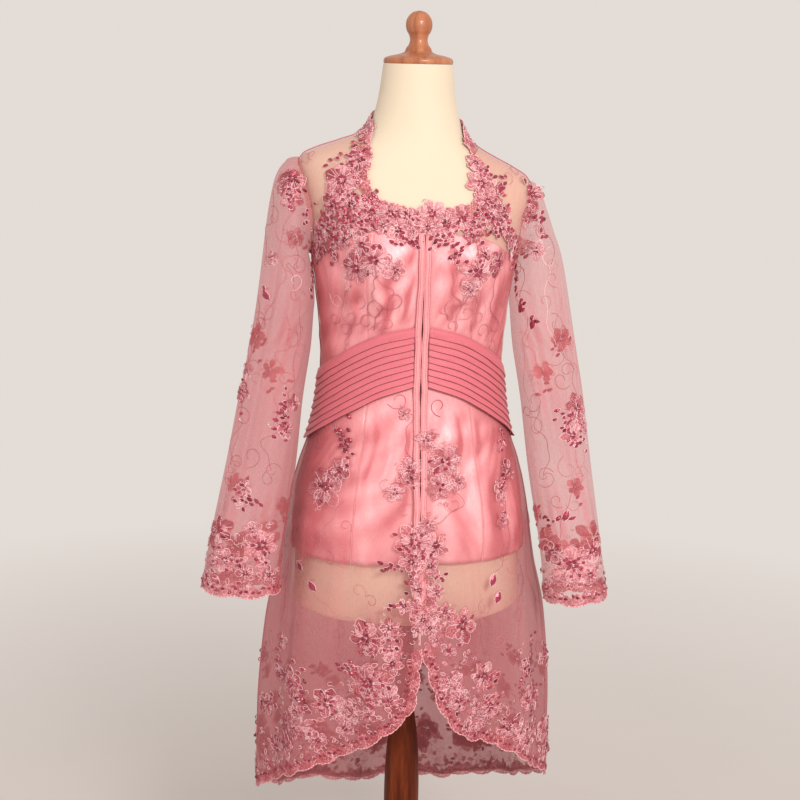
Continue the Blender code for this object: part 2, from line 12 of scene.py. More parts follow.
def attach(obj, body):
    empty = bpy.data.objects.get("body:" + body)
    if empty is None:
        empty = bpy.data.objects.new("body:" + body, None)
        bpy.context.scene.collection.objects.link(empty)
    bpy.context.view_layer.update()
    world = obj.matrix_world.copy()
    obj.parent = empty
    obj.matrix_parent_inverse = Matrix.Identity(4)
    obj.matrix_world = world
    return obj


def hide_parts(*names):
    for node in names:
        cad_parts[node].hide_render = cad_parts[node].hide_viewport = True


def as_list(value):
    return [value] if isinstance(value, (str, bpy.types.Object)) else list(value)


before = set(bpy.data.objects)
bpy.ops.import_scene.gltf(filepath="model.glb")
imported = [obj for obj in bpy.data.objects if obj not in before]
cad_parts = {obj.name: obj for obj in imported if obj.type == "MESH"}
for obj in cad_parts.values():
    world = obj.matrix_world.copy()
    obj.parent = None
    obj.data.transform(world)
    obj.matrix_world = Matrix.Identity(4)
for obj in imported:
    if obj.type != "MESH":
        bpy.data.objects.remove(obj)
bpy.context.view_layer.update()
BODY_NAME = "root"
PICTURE = 800  # the photograph's side, in pixels
SIDES = {"left": 1, "right": -1}  # the wearer's left is at +x

# ---------------------------------------------------------------- sizes shared with the solids
# They are in metres and degrees, and in millimetres where a table is divided by 1000.
CAP_UNDERSIDE = 1.480
SEAM_GAP = 0.0003
SHOULDER_SEAM = 0.45
FRONT_OPENING = 0.0014
SHOULDER_DROP = 0.070  # how far the slanting shoulders fall to the left, for each metre across
RIGHT_RISE = 0.042  # how much more they rise on the right
RIGHT_FROM = 0.05  # how far from the axis that begins, and the distance over which it grows
LEVEL_FROM = 0.330  # the depth below which they are level, and how far above it the slant is whole
LEVEL_FADE = 0.150
LEVEL_NECK = 0.06  # the depth over which the slant begins, down from the level cap
NET_WALL = 0.0012
SATIN_WALL = 0.0011
SATIN_LIFT = 0.0019
NET_LIFT = 0.0034
YOKE_LIFT = 0.0026
BELT_LIFT = 0.0054
BELT_WALL = 0.0012
TUCK_RISE = 0.0017
TUCKS = 8
PLACKET_LIFT = NET_LIFT + NET_WALL + SEAM_GAP
PLACKET_WALL = 0.0012
PLACKET_WIDTH = 0.0090
SPLIT_TOP = 0.770
FORM_BOTTOM = 0.780
BODY = np.array((
    # depth, half width, front, back, room for the satin, room for the net
    (0, 48.5, 48.5, 48.5, 0, 0), (45, 54, 51, 56, 0, 0), (75, 61, 54, 62, 0, 0), (95, 70.5, 57.5, 67, 0, 0),
    (108, 86, 61, 71, 0, 0), (120, 110, 65, 75, 0, 0), (132, 137, 70, 81, 0, 0), (144, 157, 76, 88, 0, 0),
    (158, 164, 83, 94, 0, 0), (178, 162, 92, 99, 0, 0), (200, 156, 100, 101, 0, 0),
    (225, 149, 107, 100, 0, 0), (255, 143.5, 111, 98, 0, 0), (290, 139.5, 109, 95, 0, 0),
    (330, 133.5, 104, 91, 0, 0), (380, 129, 98, 86, 0, 0), (410, 127.5, 97, 85, 0, 0),
    (463, 131.5, 102, 91, 0, 0), (500, 137, 107, 98, 0, 0.5), (535, 144.5, 112, 106, 1, 2.5),
    (570, 154, 117, 114, 1, 5), (600, 160, 120, 119, 2, 7), (650, 165, 123, 124, 4, 11),
    (715, 167, 124, 126, 5, 17), (790, 168, 124, 128, 6, 30), (880, 169, 125, 135, 6, 38),
    (960, 170, 125, 140, 6, 42), (1060, 171, 125, 145, 6, 44), (1200, 172, 125, 150, 6, 44),
)) / 1000  # fmt: skip
BODY_COLUMNS = ("depth", "half_width", "front", "back", "satin", "net")
BUST = {"x": 0.076, "depth": 0.262, "rise": 0.024, "wide": 0.050, "tall": 0.058}
BELT_TOP = ((0, 0.350), (20, 0.361), (40, 0.381), (60, 0.404), (90, 0.430), (130, 0.438), (180, 0.440))
BELT_BOTTOM = ((0, 0.436), (20, 0.452), (40, 0.476), (60, 0.502), (90, 0.535), (130, 0.546), (180, 0.548))
SATIN_HEM = ((0, 0.684), (50, 0.690), (90, 0.692), (180, 0.694))
HEM_LEFT = (
    (0, 0.776), (2, 0.792), (4.3, 0.813), (6.7, 0.840), (8.5, 0.878), (12, 0.903), (19, 0.931), (28, 0.948),
    (36, 0.958), (45, 0.981), (56, 1.010), (67, 1.031), (90, 1.074), (120, 1.125), (150, 1.162), (180, 1.176),
)  # fmt: skip
HEM_RIGHT = (
    (0, 0.800), (1.3, 0.820), (3, 0.862), (4.5, 0.882), (8, 0.904), (12.5, 0.919), (17.5, 0.933), (25, 0.953),
    (33.5, 0.969), (40, 0.979), (48, 0.994), (57, 1.014), (76, 1.052), (90, 1.074), (120, 1.125),
    (150, 1.162), (180, 1.176),
)  # fmt: skip
FOLDS = (
    # angle, height in metres, half-width in degrees
    (14, 0.007, 8), (30, -0.006, 9), (46, 0.009, 9), (66, -0.007, 9), (86, 0.005, 10), (108, -0.008, 10),
    (130, 0.010, 11), (152, -0.009, 10), (174, 0.010, 11), (197, -0.009, 10), (220, 0.010, 12),
    (246, -0.008, 10), (270, 0.005, 10), (292, -0.006, 9), (312, 0.009, 9), (329, -0.005, 8), (346, 0.007, 8),
)  # fmt: skip
FOLDS_START = 0.04  # how far below the belt they begin, and over what length they grow
FOLDS_GROW = 0.45
YOKE = (
    # angle and depth at the neckline, angle and depth at the armhole
    (0.0, 0.290, 90.0, 0.290),
    (0.0, 0.262, 90.0, 0.268),
    (0.0, 0.240, 81.0, 0.253),
    (0.0, 0.219, 74.0, 0.232),
    (0.0, 0.199, 70.0, 0.209),
    (13.0, 0.192, 70.0, 0.190),
    (25.0, 0.183, 72.0, 0.174),
    (28.0, 0.158, 75.5, 0.164),
    (31.0, 0.133, 79.0, 0.158),
    (44.0, 0.118, 82.0, 0.1545),
    (60.0, 0.112, 85.0, 0.152),
    (75.0, 0.109, 87.5, 0.1508),
    (90.0, 0.1075, 90.0, 0.150),
)
NECKLINE_FIRST_ROW = 4
ARMHOLE_FIRST_ROW = 1
SATIN_FRONT_LAST_ROW = 3
SATIN_SIDE_LAST_ROW = 2
COLLAR_FIRST_ROW = 9
BACK_NECK_DEPTH = 0.098
COLLAR_HEIGHT = ((44, 0.039), (75, 0.037), (110, 0.035), (180, 0.034))
COLLAR_SLOPE = 26
SLEEVE = np.array((
    # inner x and depth, outer x and depth, middle and half of the thickness, how much closer the left hangs
    (160, 266, 185, 150, 3, 54, 6), (157, 295, 197, 180, 1, 58, 10), (147, 325, 206, 215, -2, 58, 8),
    (145, 355, 214, 265, -6, 57, 1), (147, 390, 222, 325, -12, 54, -1),
    (152.5, 425, 230.5, 380, -19, 52, -1), (159, 465, 240.5, 430, -27, 50, 0),
    (163.5, 505, 251, 480, -36, 48, 3), (168.5, 550, 262.5, 535, -47, 46, 6),
    (175, 595, 274, 585, -58, 44, 10), (183, 640, 285, 635, -68, 43, 14),
    (189.5, 685, 294.5, 680, -77, 42, 17), (193, 728, 302, 722, -85, 42, 19),
)) / 1000  # fmt: skip
LEFT_CUFF_LOWER = 0.023
CAP_PROFILE = np.array((
    (0, 1552), (8, 1550), (14.5, 1544.5), (18, 1537), (18.4, 1532), (17, 1525), (13.5, 1518.5),
    (12.2, 1513), (13.5, 1507), (17.5, 1501), (19, 1497), (25, 1494), (40, 1490.5), (47.5, 1487),
    (48.4, 1484), (47.8, 1480.3), (0, 1480.3),
)) / 1000  # fmt: skip
POST_PROFILE = np.array((
    (0, 699.6), (24, 699.6), (24, 670), (20, 660), (20, 635), (14, 620), (13, 570), (16.5, 520),
    (22.5, 475), (25.5, 430), (26.8, 380), (26.2, 260), (23.5, 150), (20.5, 100), (29, 85), (34, 70),
    (34, 55), (40, 40), (40, 36.3), (0, 36.3),
)) / 1000  # fmt: skip
BASE_PROFILE = np.array((
    (0, 36), (70, 36), (150, 27), (164, 23), (169, 17), (170, 11), (168, 4), (164, 0), (0, 0),
)) / 1000  # fmt: skip
FRONT_ANGLES = np.array((0, 4, 10, 17, 25, 33, 41, 49, 57, 65, 73, 81.5, 90.0))
PRINCESS_COLUMN = 5
BACK_STEPS = 20
SKIRT_SHARES = (1.0, 0.88, 0.76, 0.64, 0.52, 0.40, 0.28, 0.17, 0.07)
SATIN_SHARES = (1.0, 0.78, 0.55, 0.32, 0.12)
BELT_ROWS = 4
WAIST_ROWS = 2

# ---------------------------------------------------------------- camera
CAMERA_DISTANCE = 2.07  # from the post's axis
CAMERA_SIDE = -7.5  # degrees round from centre front
CAMERA_DOWN = 13.0
CAMERA_ROLL = 1.25
CAMERA_AIM = 0.42  # degrees that it looks to the left of the axis
FOCAL_PIXELS = 1456.0
SENSOR_MM = 36.0


def camera_axes():
    """The camera's place and its right, up and forward directions."""
    side, down, roll, aim = (math.radians(v) for v in (CAMERA_SIDE, CAMERA_DOWN, CAMERA_ROLL, CAMERA_AIM))
    place = Vector((math.sin(side) * CAMERA_DISTANCE, -math.cos(side) * CAMERA_DISTANCE, CAP_UNDERSIDE))
    level = Matrix.Rotation(aim, 3, "Z") @ Vector((-math.sin(side), math.cos(side), 0))
    forward = level * math.cos(down) - Vector((0, 0, math.sin(down)))
    right = level.cross(Vector((0, 0, 1))).normalized()
    up = right.cross(forward)
    rolled_right = right * math.cos(roll) + up * math.sin(roll)
    rolled_up = up * math.cos(roll) - right * math.sin(roll)
    return place, rolled_right, rolled_up, forward


def picture_ray(x, y):
    """The line of sight through a point of the picture."""
    place, right, up, forward = camera_axes()
    middle = PICTURE / 2
    return place, (forward * FOCAL_PIXELS + right * (x - middle) - up * (y - middle)).normalized()


def add_camera():
    place, right, up, forward = camera_axes()
    data = bpy.data.cameras.new("camera")
    data.sensor_width = SENSOR_MM
    data.lens = FOCAL_PIXELS / PICTURE * SENSOR_MM
    data.clip_end = 100
    camera = bpy.data.objects.new("camera", data)
    camera.matrix_world = Matrix.Translation(place) @ Matrix((right, up, -forward)).transposed().to_4x4()
    bpy.context.scene.collection.objects.link(camera)
    bpy.context.scene.camera = camera


# ---------------------------------------------------------------- curves and the body's surface
class Curve:
    """A smooth curve through values that never overshoots them. Values may have several columns."""

    def __init__(self, places, values):
        self.places = np.asarray(places, float)
        self.values = np.asarray(values, float)
        self.steps = np.diff(self.places).reshape((-1,) + (1,) * (self.values.ndim - 1))
        slopes = np.diff(self.values, axis=0) / self.steps
        tangents = np.zeros_like(self.values)
        tangents[0], tangents[-1] = slopes[0], slopes[-1]
        before, after = 2 * self.steps[1:] + self.steps[:-1], self.steps[1:] + 2 * self.steps[:-1]
        with np.errstate(divide="ignore", invalid="ignore"):
            inner = (before + after) / (before / slopes[:-1] + after / slopes[1:])
        tangents[1:-1] = np.where(slopes[:-1] * slopes[1:] > 0, inner, 0)
        self.tangents = tangents

    def __call__(self, at):
        at = np.clip(np.asarray(at, float), self.places[0], self.places[-1])
        i = np.clip(np.searchsorted(self.places, at, side="right") - 1, 0, len(self.places) - 2)
        step = self.steps[i]
        share = (at - self.places[i]).reshape(at.shape + (1,) * (self.values.ndim - 1)) / step
        rest = 1 - share
        ends = self.values[i] * (1 + 2 * share) * rest**2 + self.values[i + 1] * share**2 * (3 - 2 * share)
        return ends + step * (self.tangents[i] * share * rest**2 - self.tangents[i + 1] * share**2 * rest)


def resampled(points, count):
    """Points at even steps on a smooth curve through the given ones."""
    return Curve(np.arange(len(points)), points)(np.linspace(0, len(points) - 1, count))


BODY_CURVES = {name: Curve(BODY[:, 0], BODY[:, i]) for i, name in enumerate(BODY_COLUMNS)}
SLEEVE_CURVE = Curve(np.arange(len(SLEEVE)), SLEEVE)


@functools.cache
def curve_of(line):
    return Curve(*zip(*line))


def line_at(line, angle):
    """Depth of a line round the garment; the hem has a line for each side, and the others are alike."""
    away = round_front(angle)
    if line == "hem":
        return np.where(away > 0, curve_of(HEM_LEFT)(abs(away)), curve_of(HEM_RIGHT)(abs(away)))
    return curve_of(line)(abs(away))


def eased(share):
    share = np.clip(share, 0, 1)
    return share * share * (3 - 2 * share)


def bumps(angle, table):
    """Ridges and troughs across an angle: middle, height and width of each."""
    out = 0
    for middle, most, width in table:
        away = ((angle - middle + 180) % 360 - 180) / width
        out = out + most * np.exp(-away * away)
    return out


def level_drop(x, depth):
    """How far the slanting shoulders lower points: not at all at the cap and below the bust."""
    fall = np.clip((LEVEL_FROM - depth) / LEVEL_FADE, 0, 1)
    on_right = np.clip(-x / RIGHT_FROM - 1, 0, 1)
    slant = SHOULDER_DROP + RIGHT_RISE * on_right
    return slant * x * np.clip(depth / LEVEL_NECK, 0, 1) * fall * eased(fall)


def skin(angle, depth, layer):
    """Points of the form, or of the surface on which the satin or the net hangs."""
    angle, depth = np.broadcast_arrays(np.asarray(angle, float), np.asarray(depth, float))
    room = BODY_CURVES[layer](depth) if layer in ("satin", "net") else 0
    if layer == "net":
        below = depth - line_at(BELT_BOTTOM, angle) - FOLDS_START
        room = room + bumps(angle, FOLDS) * eased(below / FOLDS_GROW)
    turn = np.radians(angle)
    ahead = np.cos(turn) > 0
    reach = np.where(ahead, BODY_CURVES["front"](depth), BODY_CURVES["back"](depth)) + room
    x = (BODY_CURVES["half_width"](depth) + room) * np.sin(turn)
    y = -reach * np.cos(turn)
    across = (abs(x) - BUST["x"]) / BUST["wide"]
    down = (depth - BUST["depth"]) / BUST["tall"]
    y -= BUST["rise"] * np.exp(-across**2 - down**2) * np.sqrt(np.maximum(np.cos(turn), 0))
    return np.stack((x, y, CAP_UNDERSIDE - depth - level_drop(x, depth)), -1)


def lifted(angle, depth, layer, lift):
    """Points at a distance from the surface, along its normal."""
    turn, step = 0.4, 0.002
    around = skin(angle + turn, depth, layer) - skin(angle - turn, depth, layer)
    along = skin(angle, depth - step, layer) - skin(angle, depth + step, layer)
    normal = np.cross(around, along)
    normal /= np.linalg.norm(normal, axis=-1, keepdims=True)
    return skin(angle, depth, layer) + normal * np.asarray(lift)[..., None]


# ---------------------------------------------------------------- grids of cloth
# A grid is an array of rows and columns of (angle, depth).
def mix(a, b, share):
    return a + (b - a) * share


def stacked(angles, depths):
    return np.stack(np.broadcast_arrays(angles, depths), -1)


def net_half_width(depth):
    return BODY_CURVES["half_width"](depth) + BODY_CURVES["net"](depth)


def placket_edge(row, side=1):
    """The row with the placket's outer edge at the same width all the way down."""
    row = row.copy()
    depth = row[1, 1]
    row[1, 0] = side * math.degrees(math.asin(PLACKET_WIDTH / net_half_width(depth)))
    return row


def lower_rows(angles, hem, shares):
    """Rows from a hem up to the belt and on to the bust."""
    top, bottom, low = line_at(BELT_TOP, angles), line_at(BELT_BOTTOM, angles), line_at(hem, angles)
    rows = [stacked(angles, mix(bottom, low, s)) for s in shares]
    rows += [stacked(angles, mix(top, bottom, k / BELT_ROWS)) for k in range(BELT_ROWS, -1, -1)]
    rows += [stacked(angles, mix(top, YOKE[0][1], k / WAIST_ROWS)) for k in range(1, WAIST_ROWS)]
    return rows


def front_yoke_rows():
    shares = FRONT_ANGLES / FRONT_ANGLES[-1]
    rows = []
    for a, d, outer_a, outer_d in YOKE:
        row = stacked(mix(a, outer_a, shares), mix(d, outer_d, shares))
        rows.append(row if a else placket_edge(row))
    rows[-1][:, 0] -= SHOULDER_SEAM
    return rows


def back_angles():
    return 90 + 180 * np.arange(BACK_STEPS + 1) / BACK_STEPS


def back_yoke_rows():
    """Rows of the back from the bust level to the shoulder seams and the neck between them."""
    rows = []
    neck_share = 0.3
    top_angle, top_depth = YOKE[-1][0], YOKE[-1][1]
    for i, (_, _, outer_angle, outer_depth) in enumerate(YOKE):
        rise = max(i - ARMHOLE_FIRST_ROW, 0) / (len(YOKE) - 1 - ARMHOLE_FIRST_ROW)
        start = 180 - outer_angle
        neck_angle = mix(start + (180 - start) * 2 * neck_share, top_angle, rise)
        neck_depth = mix(outer_depth, top_depth, rise**1.15)
        middle_depth = mix(outer_depth, BACK_NECK_DEPTH, rise**1.15) if i else YOKE[0][3]
        share = np.arange(BACK_STEPS // 2 + 1) / BACK_STEPS
        angles = np.interp(share, (0, neck_share, 0.5), (start, neck_angle, 180))
        depths = np.interp(share, (0, neck_share, 0.5), (outer_depth, neck_depth, middle_depth))
        if i == len(YOKE) - 1:
            angles = np.maximum(angles, top_angle + SHOULDER_SEAM)
        half = stacked(angles, depths)
        other = half[-2::-1] * (-1, 1) + (360, 0)
        rows.append(np.concatenate((half, other)))
    return rows


LEAST_REACH = 0.06  # metres from the axis, at least, when a distance at a row's start becomes an angle
SIDE_REACH = 0.07  # and at its end


def inset(rows, left, right):
    """The rows drawn in at their ends, by distances on the cloth."""
    drawn = np.array(rows)
    reach = BODY_CURVES["half_width"](drawn[:, 0, 1]) * abs(np.cos(np.radians(drawn[:, 0, 0])))
    drawn[:, 0, 0] += np.degrees(left / np.maximum(reach, LEAST_REACH))
    drawn[:, -1, 0] -= math.degrees(right / SIDE_REACH)
    return drawn


def mirrored(grid):
    return grid[:, ::-1] * (-1, 1)


def dense(grid, per_row, per_column):
    """The grid with more rows and columns, on smooth curves through its own."""
    columns = np.swapaxes(resampled(grid, (len(grid) - 1) * per_row + 1), 0, 1)
    return np.swapaxes(resampled(columns, (len(columns) - 1) * per_column + 1), 0, 1)


def steady(vectors):
    """The vectors, each one unit long."""
    return vectors / np.maximum(np.linalg.norm(vectors, axis=-1, keepdims=True), 1e-12)


def normals_of(points, ring=False, flip=False):
    """Unit normals of a grid of points, facing out."""
    around = np.roll(points, -1, 1) - np.roll(points, 1, 1) if ring else np.gradient(points, axis=1)
    return steady(np.cross(around, np.gradient(points, axis=0)) * (-1 if flip else 1))


def creases(across, down, table):
    """How far soft creases stand out: each runs from a place to a place, with a height and a half-width."""
    out = 0
    for x0, y0, x1, y1, height, width in table:
        length = math.hypot(x1 - x0, y1 - y0)
        share = ((across - x0) * (x1 - x0) + (down - y0) * (y1 - y0)) / length**2
        away = ((across - x0) * (y1 - y0) - (down - y0) * (x1 - x0)) / length / width
        out = out + height * eased(2.5 * np.minimum(share, 1 - share)) * np.exp(-away * away)
    return out


def round_front(angle):
    """The angle from centre front, from -180 to 180 degrees."""
    return (np.asarray(angle, float) + 180) % 360 - 180


MEAN_REACH = 0.14  # metres from the axis to the cloth, about


def arc(angle):
    """Metres round the form from centre front, for placing creases."""
    return np.radians(round_front(angle)) * MEAN_REACH


# ---------------------------------------------------------------- materials
class Look:
    """A Principled material and its nodes."""

    def __init__(self, name, **values):
        self.material = bpy.data.materials.new(name)
        self.material.use_nodes = True
        self.tree = self.material.node_tree
        self.shader = self.tree.nodes["Principled BSDF"]
        self.place = self.node("ShaderNodeTexCoord").outputs["Object"]
        for key, value in values.items():
            self.set(self.shader, key.replace("_", " "), value)

    def set(self, node, key, value):
        if isinstance(value, bpy.types.NodeSocket):
            self.tree.links.new(value, node.inputs[key])
        elif hasattr(value, "__len__") and len(value) == 3 and node.inputs[key].type == "RGBA":
            node.inputs[key].default_value = (*value, 1)
        else:
            node.inputs[key].default_value = value

    def node(self, kind, attributes=None, **inputs):
        made = self.tree.nodes.new(kind)
        for key, value in (attributes or {}).items():
            setattr(made, key, value)
        for key, value in inputs.items():
            self.set(made, key.replace("_", " "), value)
        return made

    def stretched(self, scale):
        """Object coordinates multiplied by a scale for each axis."""
        return self.node("ShaderNodeMapping", Vector=self.place, Scale=scale).outputs["Vector"]

    def painted(self, name):
        """The values that the mesh carries under a name."""
        return self.node("ShaderNodeAttribute", {"attribute_name": name}).outputs["Fac"]

    def noise(self, scale, detail, where=None, roughness=0.5):
        where = where or self.place
        made = self.node("ShaderNodeTexNoise", Vector=where, Scale=scale, Detail=detail, Roughness=roughness)
        return made.outputs["Fac"]

    def ramp(self, value, *stops):
        """Colours or greys for places from 0 to 1."""
        made = self.node("ShaderNodeValToRGB", Fac=value)
        elements = made.color_ramp.elements
        while len(elements) < len(stops):
            elements.new(0.5)
        for element, (place, colour) in zip(elements, stops):
            element.position = place
            element.color = (*colour, 1) if hasattr(colour, "__len__") else (colour, colour, colour, 1)
        return made.outputs["Color"]

    def bump(self, height, strength, distance):
        made = self.node("ShaderNodeBump", Height=height, Strength=strength, Distance=distance)
        self.set(self.shader, "Normal", made.outputs["Normal"])

    def sum(self, *values):
        made = self.tree.nodes.new("ShaderNodeMath")
        for i, value in enumerate(values):
            self.set(made, i, value)
        return made.outputs[0]

    def clear(self):
        return self.node("ShaderNodeBsdfTransparent").outputs["BSDF"]

    def through(self, colour):
        return self.node("ShaderNodeBsdfTranslucent", Color=colour).outputs["BSDF"]

    def blend(self, first, second, share):
        made = self.node("ShaderNodeMixShader", Fac=share)
        self.tree.links.new(first, made.inputs[1])
        self.tree.links.new(second, made.inputs[2])
        return made.outputs["Shader"]

    def show(self, shader):
        self.tree.links.new(shader, self.tree.nodes["Material Output"].inputs["Surface"])


NET_COLOURS = ((0.735, 0.200, 0.228), (0.83, 0.268, 0.292))
NET_COVER = 0.27


def net_look():
    """Sheer net, clear between its threads, which pass some light; denser on folds and where doubled, with
    its colour darkened there as painted shade.
    """
    look = Look("net_pink", Roughness=0.6, Sheen_Weight=0.2, Sheen_Roughness=0.4, Sheen_Tint=(1, 0.62, 0.64))
    look.set(look.shader, "Specular IOR Level", 0.25)
    patches = look.noise(9.0, 4.0)
    colour = look.ramp(patches, (0.35, NET_COLOURS[0]), (0.68, NET_COLOURS[1]))
    folds = look.painted("fold")
    doubled_and_shaded = look.painted("doubled_and_shaded")
    # Painted shade: the net's colour is multiplied darker where doubled_and_shaded is high.
    shade = look.ramp(doubled_and_shaded, (0.0, 1.0), (0.6, 0.52))
    shaded = look.node("ShaderNodeMixRGB", {"blend_type": "MULTIPLY"}, Fac=1.0, Color1=colour, Color2=shade)
    colour = shaded.outputs["Color"]
    look.set(look.shader, "Base Color", colour)
    threads = look.noise(420.0, 1.0, look.stretched((1, 1, 0.35)))
    cover = look.ramp(threads, (0.3, NET_COVER - 0.04), (0.7, NET_COVER + 0.04))
    cover = look.sum(look.sum(cover, folds), doubled_and_shaded)
    thread = look.blend(look.shader.outputs["BSDF"], look.through(colour), 0.4)
    look.show(look.blend(look.clear(), thread, cover))
    return look.material


SATIN_PAINTED_SHADES = (
    # painted shading: how far the satin leans to the light, as a share, and its colour there, from painted
    # shade to painted highlight
    (0.08, (0.62, 0.215, 0.24)),
    (0.34, (0.82, 0.39, 0.42)),
    (0.56, (0.92, 0.52, 0.545)),
    (0.80, (0.99, 0.71, 0.73)),
)


def satin_look():
    look = Look("satin_pink", Roughness=0.48, Metallic=0.25)
    look.set(look.shader, "Specular IOR Level", 0.6)
    look.set(look.shader, "Specular Tint", (1.0, 0.90, 0.90))
    # Painted shade and painted highlight: the satin's colour follows the painted_shading carried by its mesh.
    painted_shading = look.painted("painted_shading")
    threads = look.noise(260.0, 2.0, look.stretched((1, 1, 9)))
    spread = look.node("ShaderNodeMapRange", Value=threads, To_Min=-0.06, To_Max=0.06)
    look.set(look.shader, "Base Color", look.ramp(look.sum(painted_shading, spread.outputs["Result"]), *SATIN_PAINTED_SHADES))
    look.bump(threads, 0.08, 0.0003)
    return look.material


def belt_look(name, dark, pale):
    look = Look(name, Roughness=0.6, Sheen_Weight=0.3, Sheen_Tint=(1.0, 0.6, 0.62))
    threads = look.noise(700.0, 2.0)
    look.set(look.shader, "Base Color", look.ramp(threads, (0.35, dark), (0.65, pale)))
    look.bump(threads, 0.2, 0.0004)
    return look.material


def form_look():
    look = Look("form_cream", Roughness=0.8, Sheen_Weight=0.2)
    knit = look.noise(900.0, 1.0, look.stretched((1, 1, 0.4)))
    patches = look.noise(5.0, 3.0)
    cream = look.ramp(patches, (0.3, (0.640, 0.530, 0.395)), (0.7, (0.675, 0.570, 0.435)))
    look.set(look.shader, "Base Color", cream)
    look.bump(knit, 0.15, 0.0004)
    return look.material


def wood_look(name, gloss, *streaks):
    look = Look(name, Roughness=0.42, Coat_Weight=gloss, Coat_Roughness=0.12)
    look.set(look.shader, "Specular IOR Level", 0.1 + gloss)
    grain = look.noise(14.0, 6.0, look.stretched((7, 7, 0.6)), 0.6)
    look.set(look.shader, "Base Color", look.ramp(grain, *zip((0.28, 0.5, 0.72), streaks)))
    look.bump(grain, 0.08, 0.001)
    return look.material


# ---------------------------------------------------------------- pieces
def add_mesh(name, points, faces, material, flat=False):
    mesh = bpy.data.meshes.new(name)
    mesh.from_pydata(np.asarray(points, float).reshape(-1, 3).tolist(), [], faces)
    mesh.materials.append(material)
    if not flat:
        mesh.shade_smooth()
    made = bpy.data.objects.new(name, mesh)
    bpy.context.scene.collection.objects.link(made)
    return made


def grid_faces(rows, columns, ring=False):
    across = np.arange(columns if ring else columns - 1)
    low = np.arange(rows - 1)[:, None] * columns + across
    low_next = np.arange(rows - 1)[:, None] * columns + (across + 1) % columns
    return np.stack((low, low_next, low_next + columns, low + columns), -1).reshape(-1, 4).tolist()


def add_grid(name, points, material, ring=False, flip=False):
    faces = grid_faces(*points.shape[:2], ring)
    if flip:
        faces = [face[::-1] for face in faces]
    return add_mesh(name, points, faces, material)


def put(obj, slot, *nodes):
    """The piece rides on the only body and stands for CAD nodes, which are hidden; its slot is not used."""
    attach(obj, BODY_NAME)
    if nodes:
        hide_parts(*nodes)
    return obj


def thicken(obj, wall, middle=True):
    solid = obj.modifiers.new("wall", "SOLIDIFY")
    solid.thickness = wall
    solid.offset = 0 if middle else 1
    return obj


def paint(obj, name, values):
    """Gives each vertex a value that the material reads."""
    made = obj.data.attributes.new(name, "FLOAT", "POINT")
    made.data.foreach_set("value", np.ravel(values).astype(np.float32))


def shade_folds(obj, points, ring, doubled_and_shaded, flat):
    """Paints on the net how steep its creases stand, but not where it is flat, and where it is doubled, with
    its colour darkened as painted shade.
    """
    normals = normals_of(points, ring)
    smooth = normals
    for _ in range(SMOOTHING_ROUNDS):
        smooth = smooth_rows(smooth, ring)
    smooth = smooth / np.linalg.norm(smooth, axis=-1, keepdims=True)
    tilt = np.arccos(np.clip((normals * smooth).sum(-1), -1, 1))
    paint(obj, "fold", np.clip(tilt * FOLD_COVER, 0, MOST_FOLD_COVER) * (1 - flat))
    paint(obj, "doubled_and_shaded", np.broadcast_to(doubled_and_shaded, tilt.shape))


def smooth_rows(values, ring):
    """The mean of each value and its neighbours' along the rows, or of the next but one's in a ring."""
    if ring:
        return (np.roll(values, 2, 1) + values + np.roll(values, -2, 1)) / 3
    wide = np.pad(values, ((0, 0), (1, 1), (0, 0)), mode="edge")
    return (wide[:, :-2] + wide[:, 1:-1] + wide[:, 2:]) / 3


def cords(name, lines, radius, material):
    """Thin four-sided cords along lines of points."""
    points, faces = [], []
    for line in lines:
        along = np.gradient(line, axis=0)
        side = steady(np.cross(along, line * (1, 1, 0)))
        way = steady(np.cross(side, along))
        start = sum(map(len, points))
        ring = [line + side * radius, line + way * radius, line - side * radius, line - way * radius]
        points.append(np.stack(ring, 1).reshape(-1, 3))
        faces += [[i + start for i in face] for face in grid_faces(len(line), 4, True)]
        last = start + 4 * len(line) - 4
        faces += [[start, start + 1, start + 2, start + 3], [last + 3, last + 2, last + 1, last]]
    return add_mesh(name, np.concatenate(points), faces, material)


# ---------------------------------------------------------------- how the cloth is shaped and creased
PER_ROW = 7  # how many rows and columns of the shells go into one of the solids'
PER_COLUMN = 7
FOLD_COVER = 0.8  # how much denser the net looks for each radian that a fold's side tilts
MOST_FOLD_COVER = 0.26
SMOOTHING_ROUNDS = 10
# How much denser than one layer the net looks, and how far its colour is darkened with painted shade: all
# over, low on the skirt, over the yoke, at the skirt's sides, where it is gathered, and on the sleeves' inner
# sides, which fold over themselves.
# The darker colour is painted shade, most on the back's inside, the skirt's sides and the right sleeve.
DOUBLED_AND_SHADED = {"sleeve_left": 0.03, "sleeve_right": 0.17, "collar": 0.12}
DOUBLED_AND_SHADED_LOW = {"front_left": 0.22, "front_right": 0.24, "back": 0.50}
DOUBLED_AND_SHADED_HIGH = {"front_right": -0.04}
GATHERED_AND_SHADED = 0.36
SLEEVE_FOLDED_AND_SHADED = 0.16
YOKE_FOOT = 0.235  # depths
GATHERS_FROM = 0.47
LOW_SKIRT = 0.70
BODICE_CREASES = np.array((
    # across from centre front and depth, at each end, height, half-width
    (30, 300, 60, 360, 0.7, 8), (52, 290, 105, 385, 0.8, 10), (110, 300, 150, 400, 0.7, 9),
    (165, 270, 185, 400, 0.8, 11), (18, 250, 20, 345, 0.6, 7), (-28, 285, -50, 370, 0.8, 9),
    (-62, 300, -98, 392, 0.6, 8), (-90, 280, -150, 395, 0.8, 11), (-170, 265, -190, 405, 0.8, 10),
    (-40, 225, -10, 262, 0.6, 7), (260, 180, 330, 300, 0.8, 12), (-250, 190, -320, 320, 0.8, 12),
    (380, 200, 360, 400, 0.7, 11), (-400, 230, -370, 410, 0.7, 10), (300, 150, 440, 165, 0.6, 9),
    (-290, 160, -410, 190, 0.6, 9),
)) / 1000  # fmt: skip
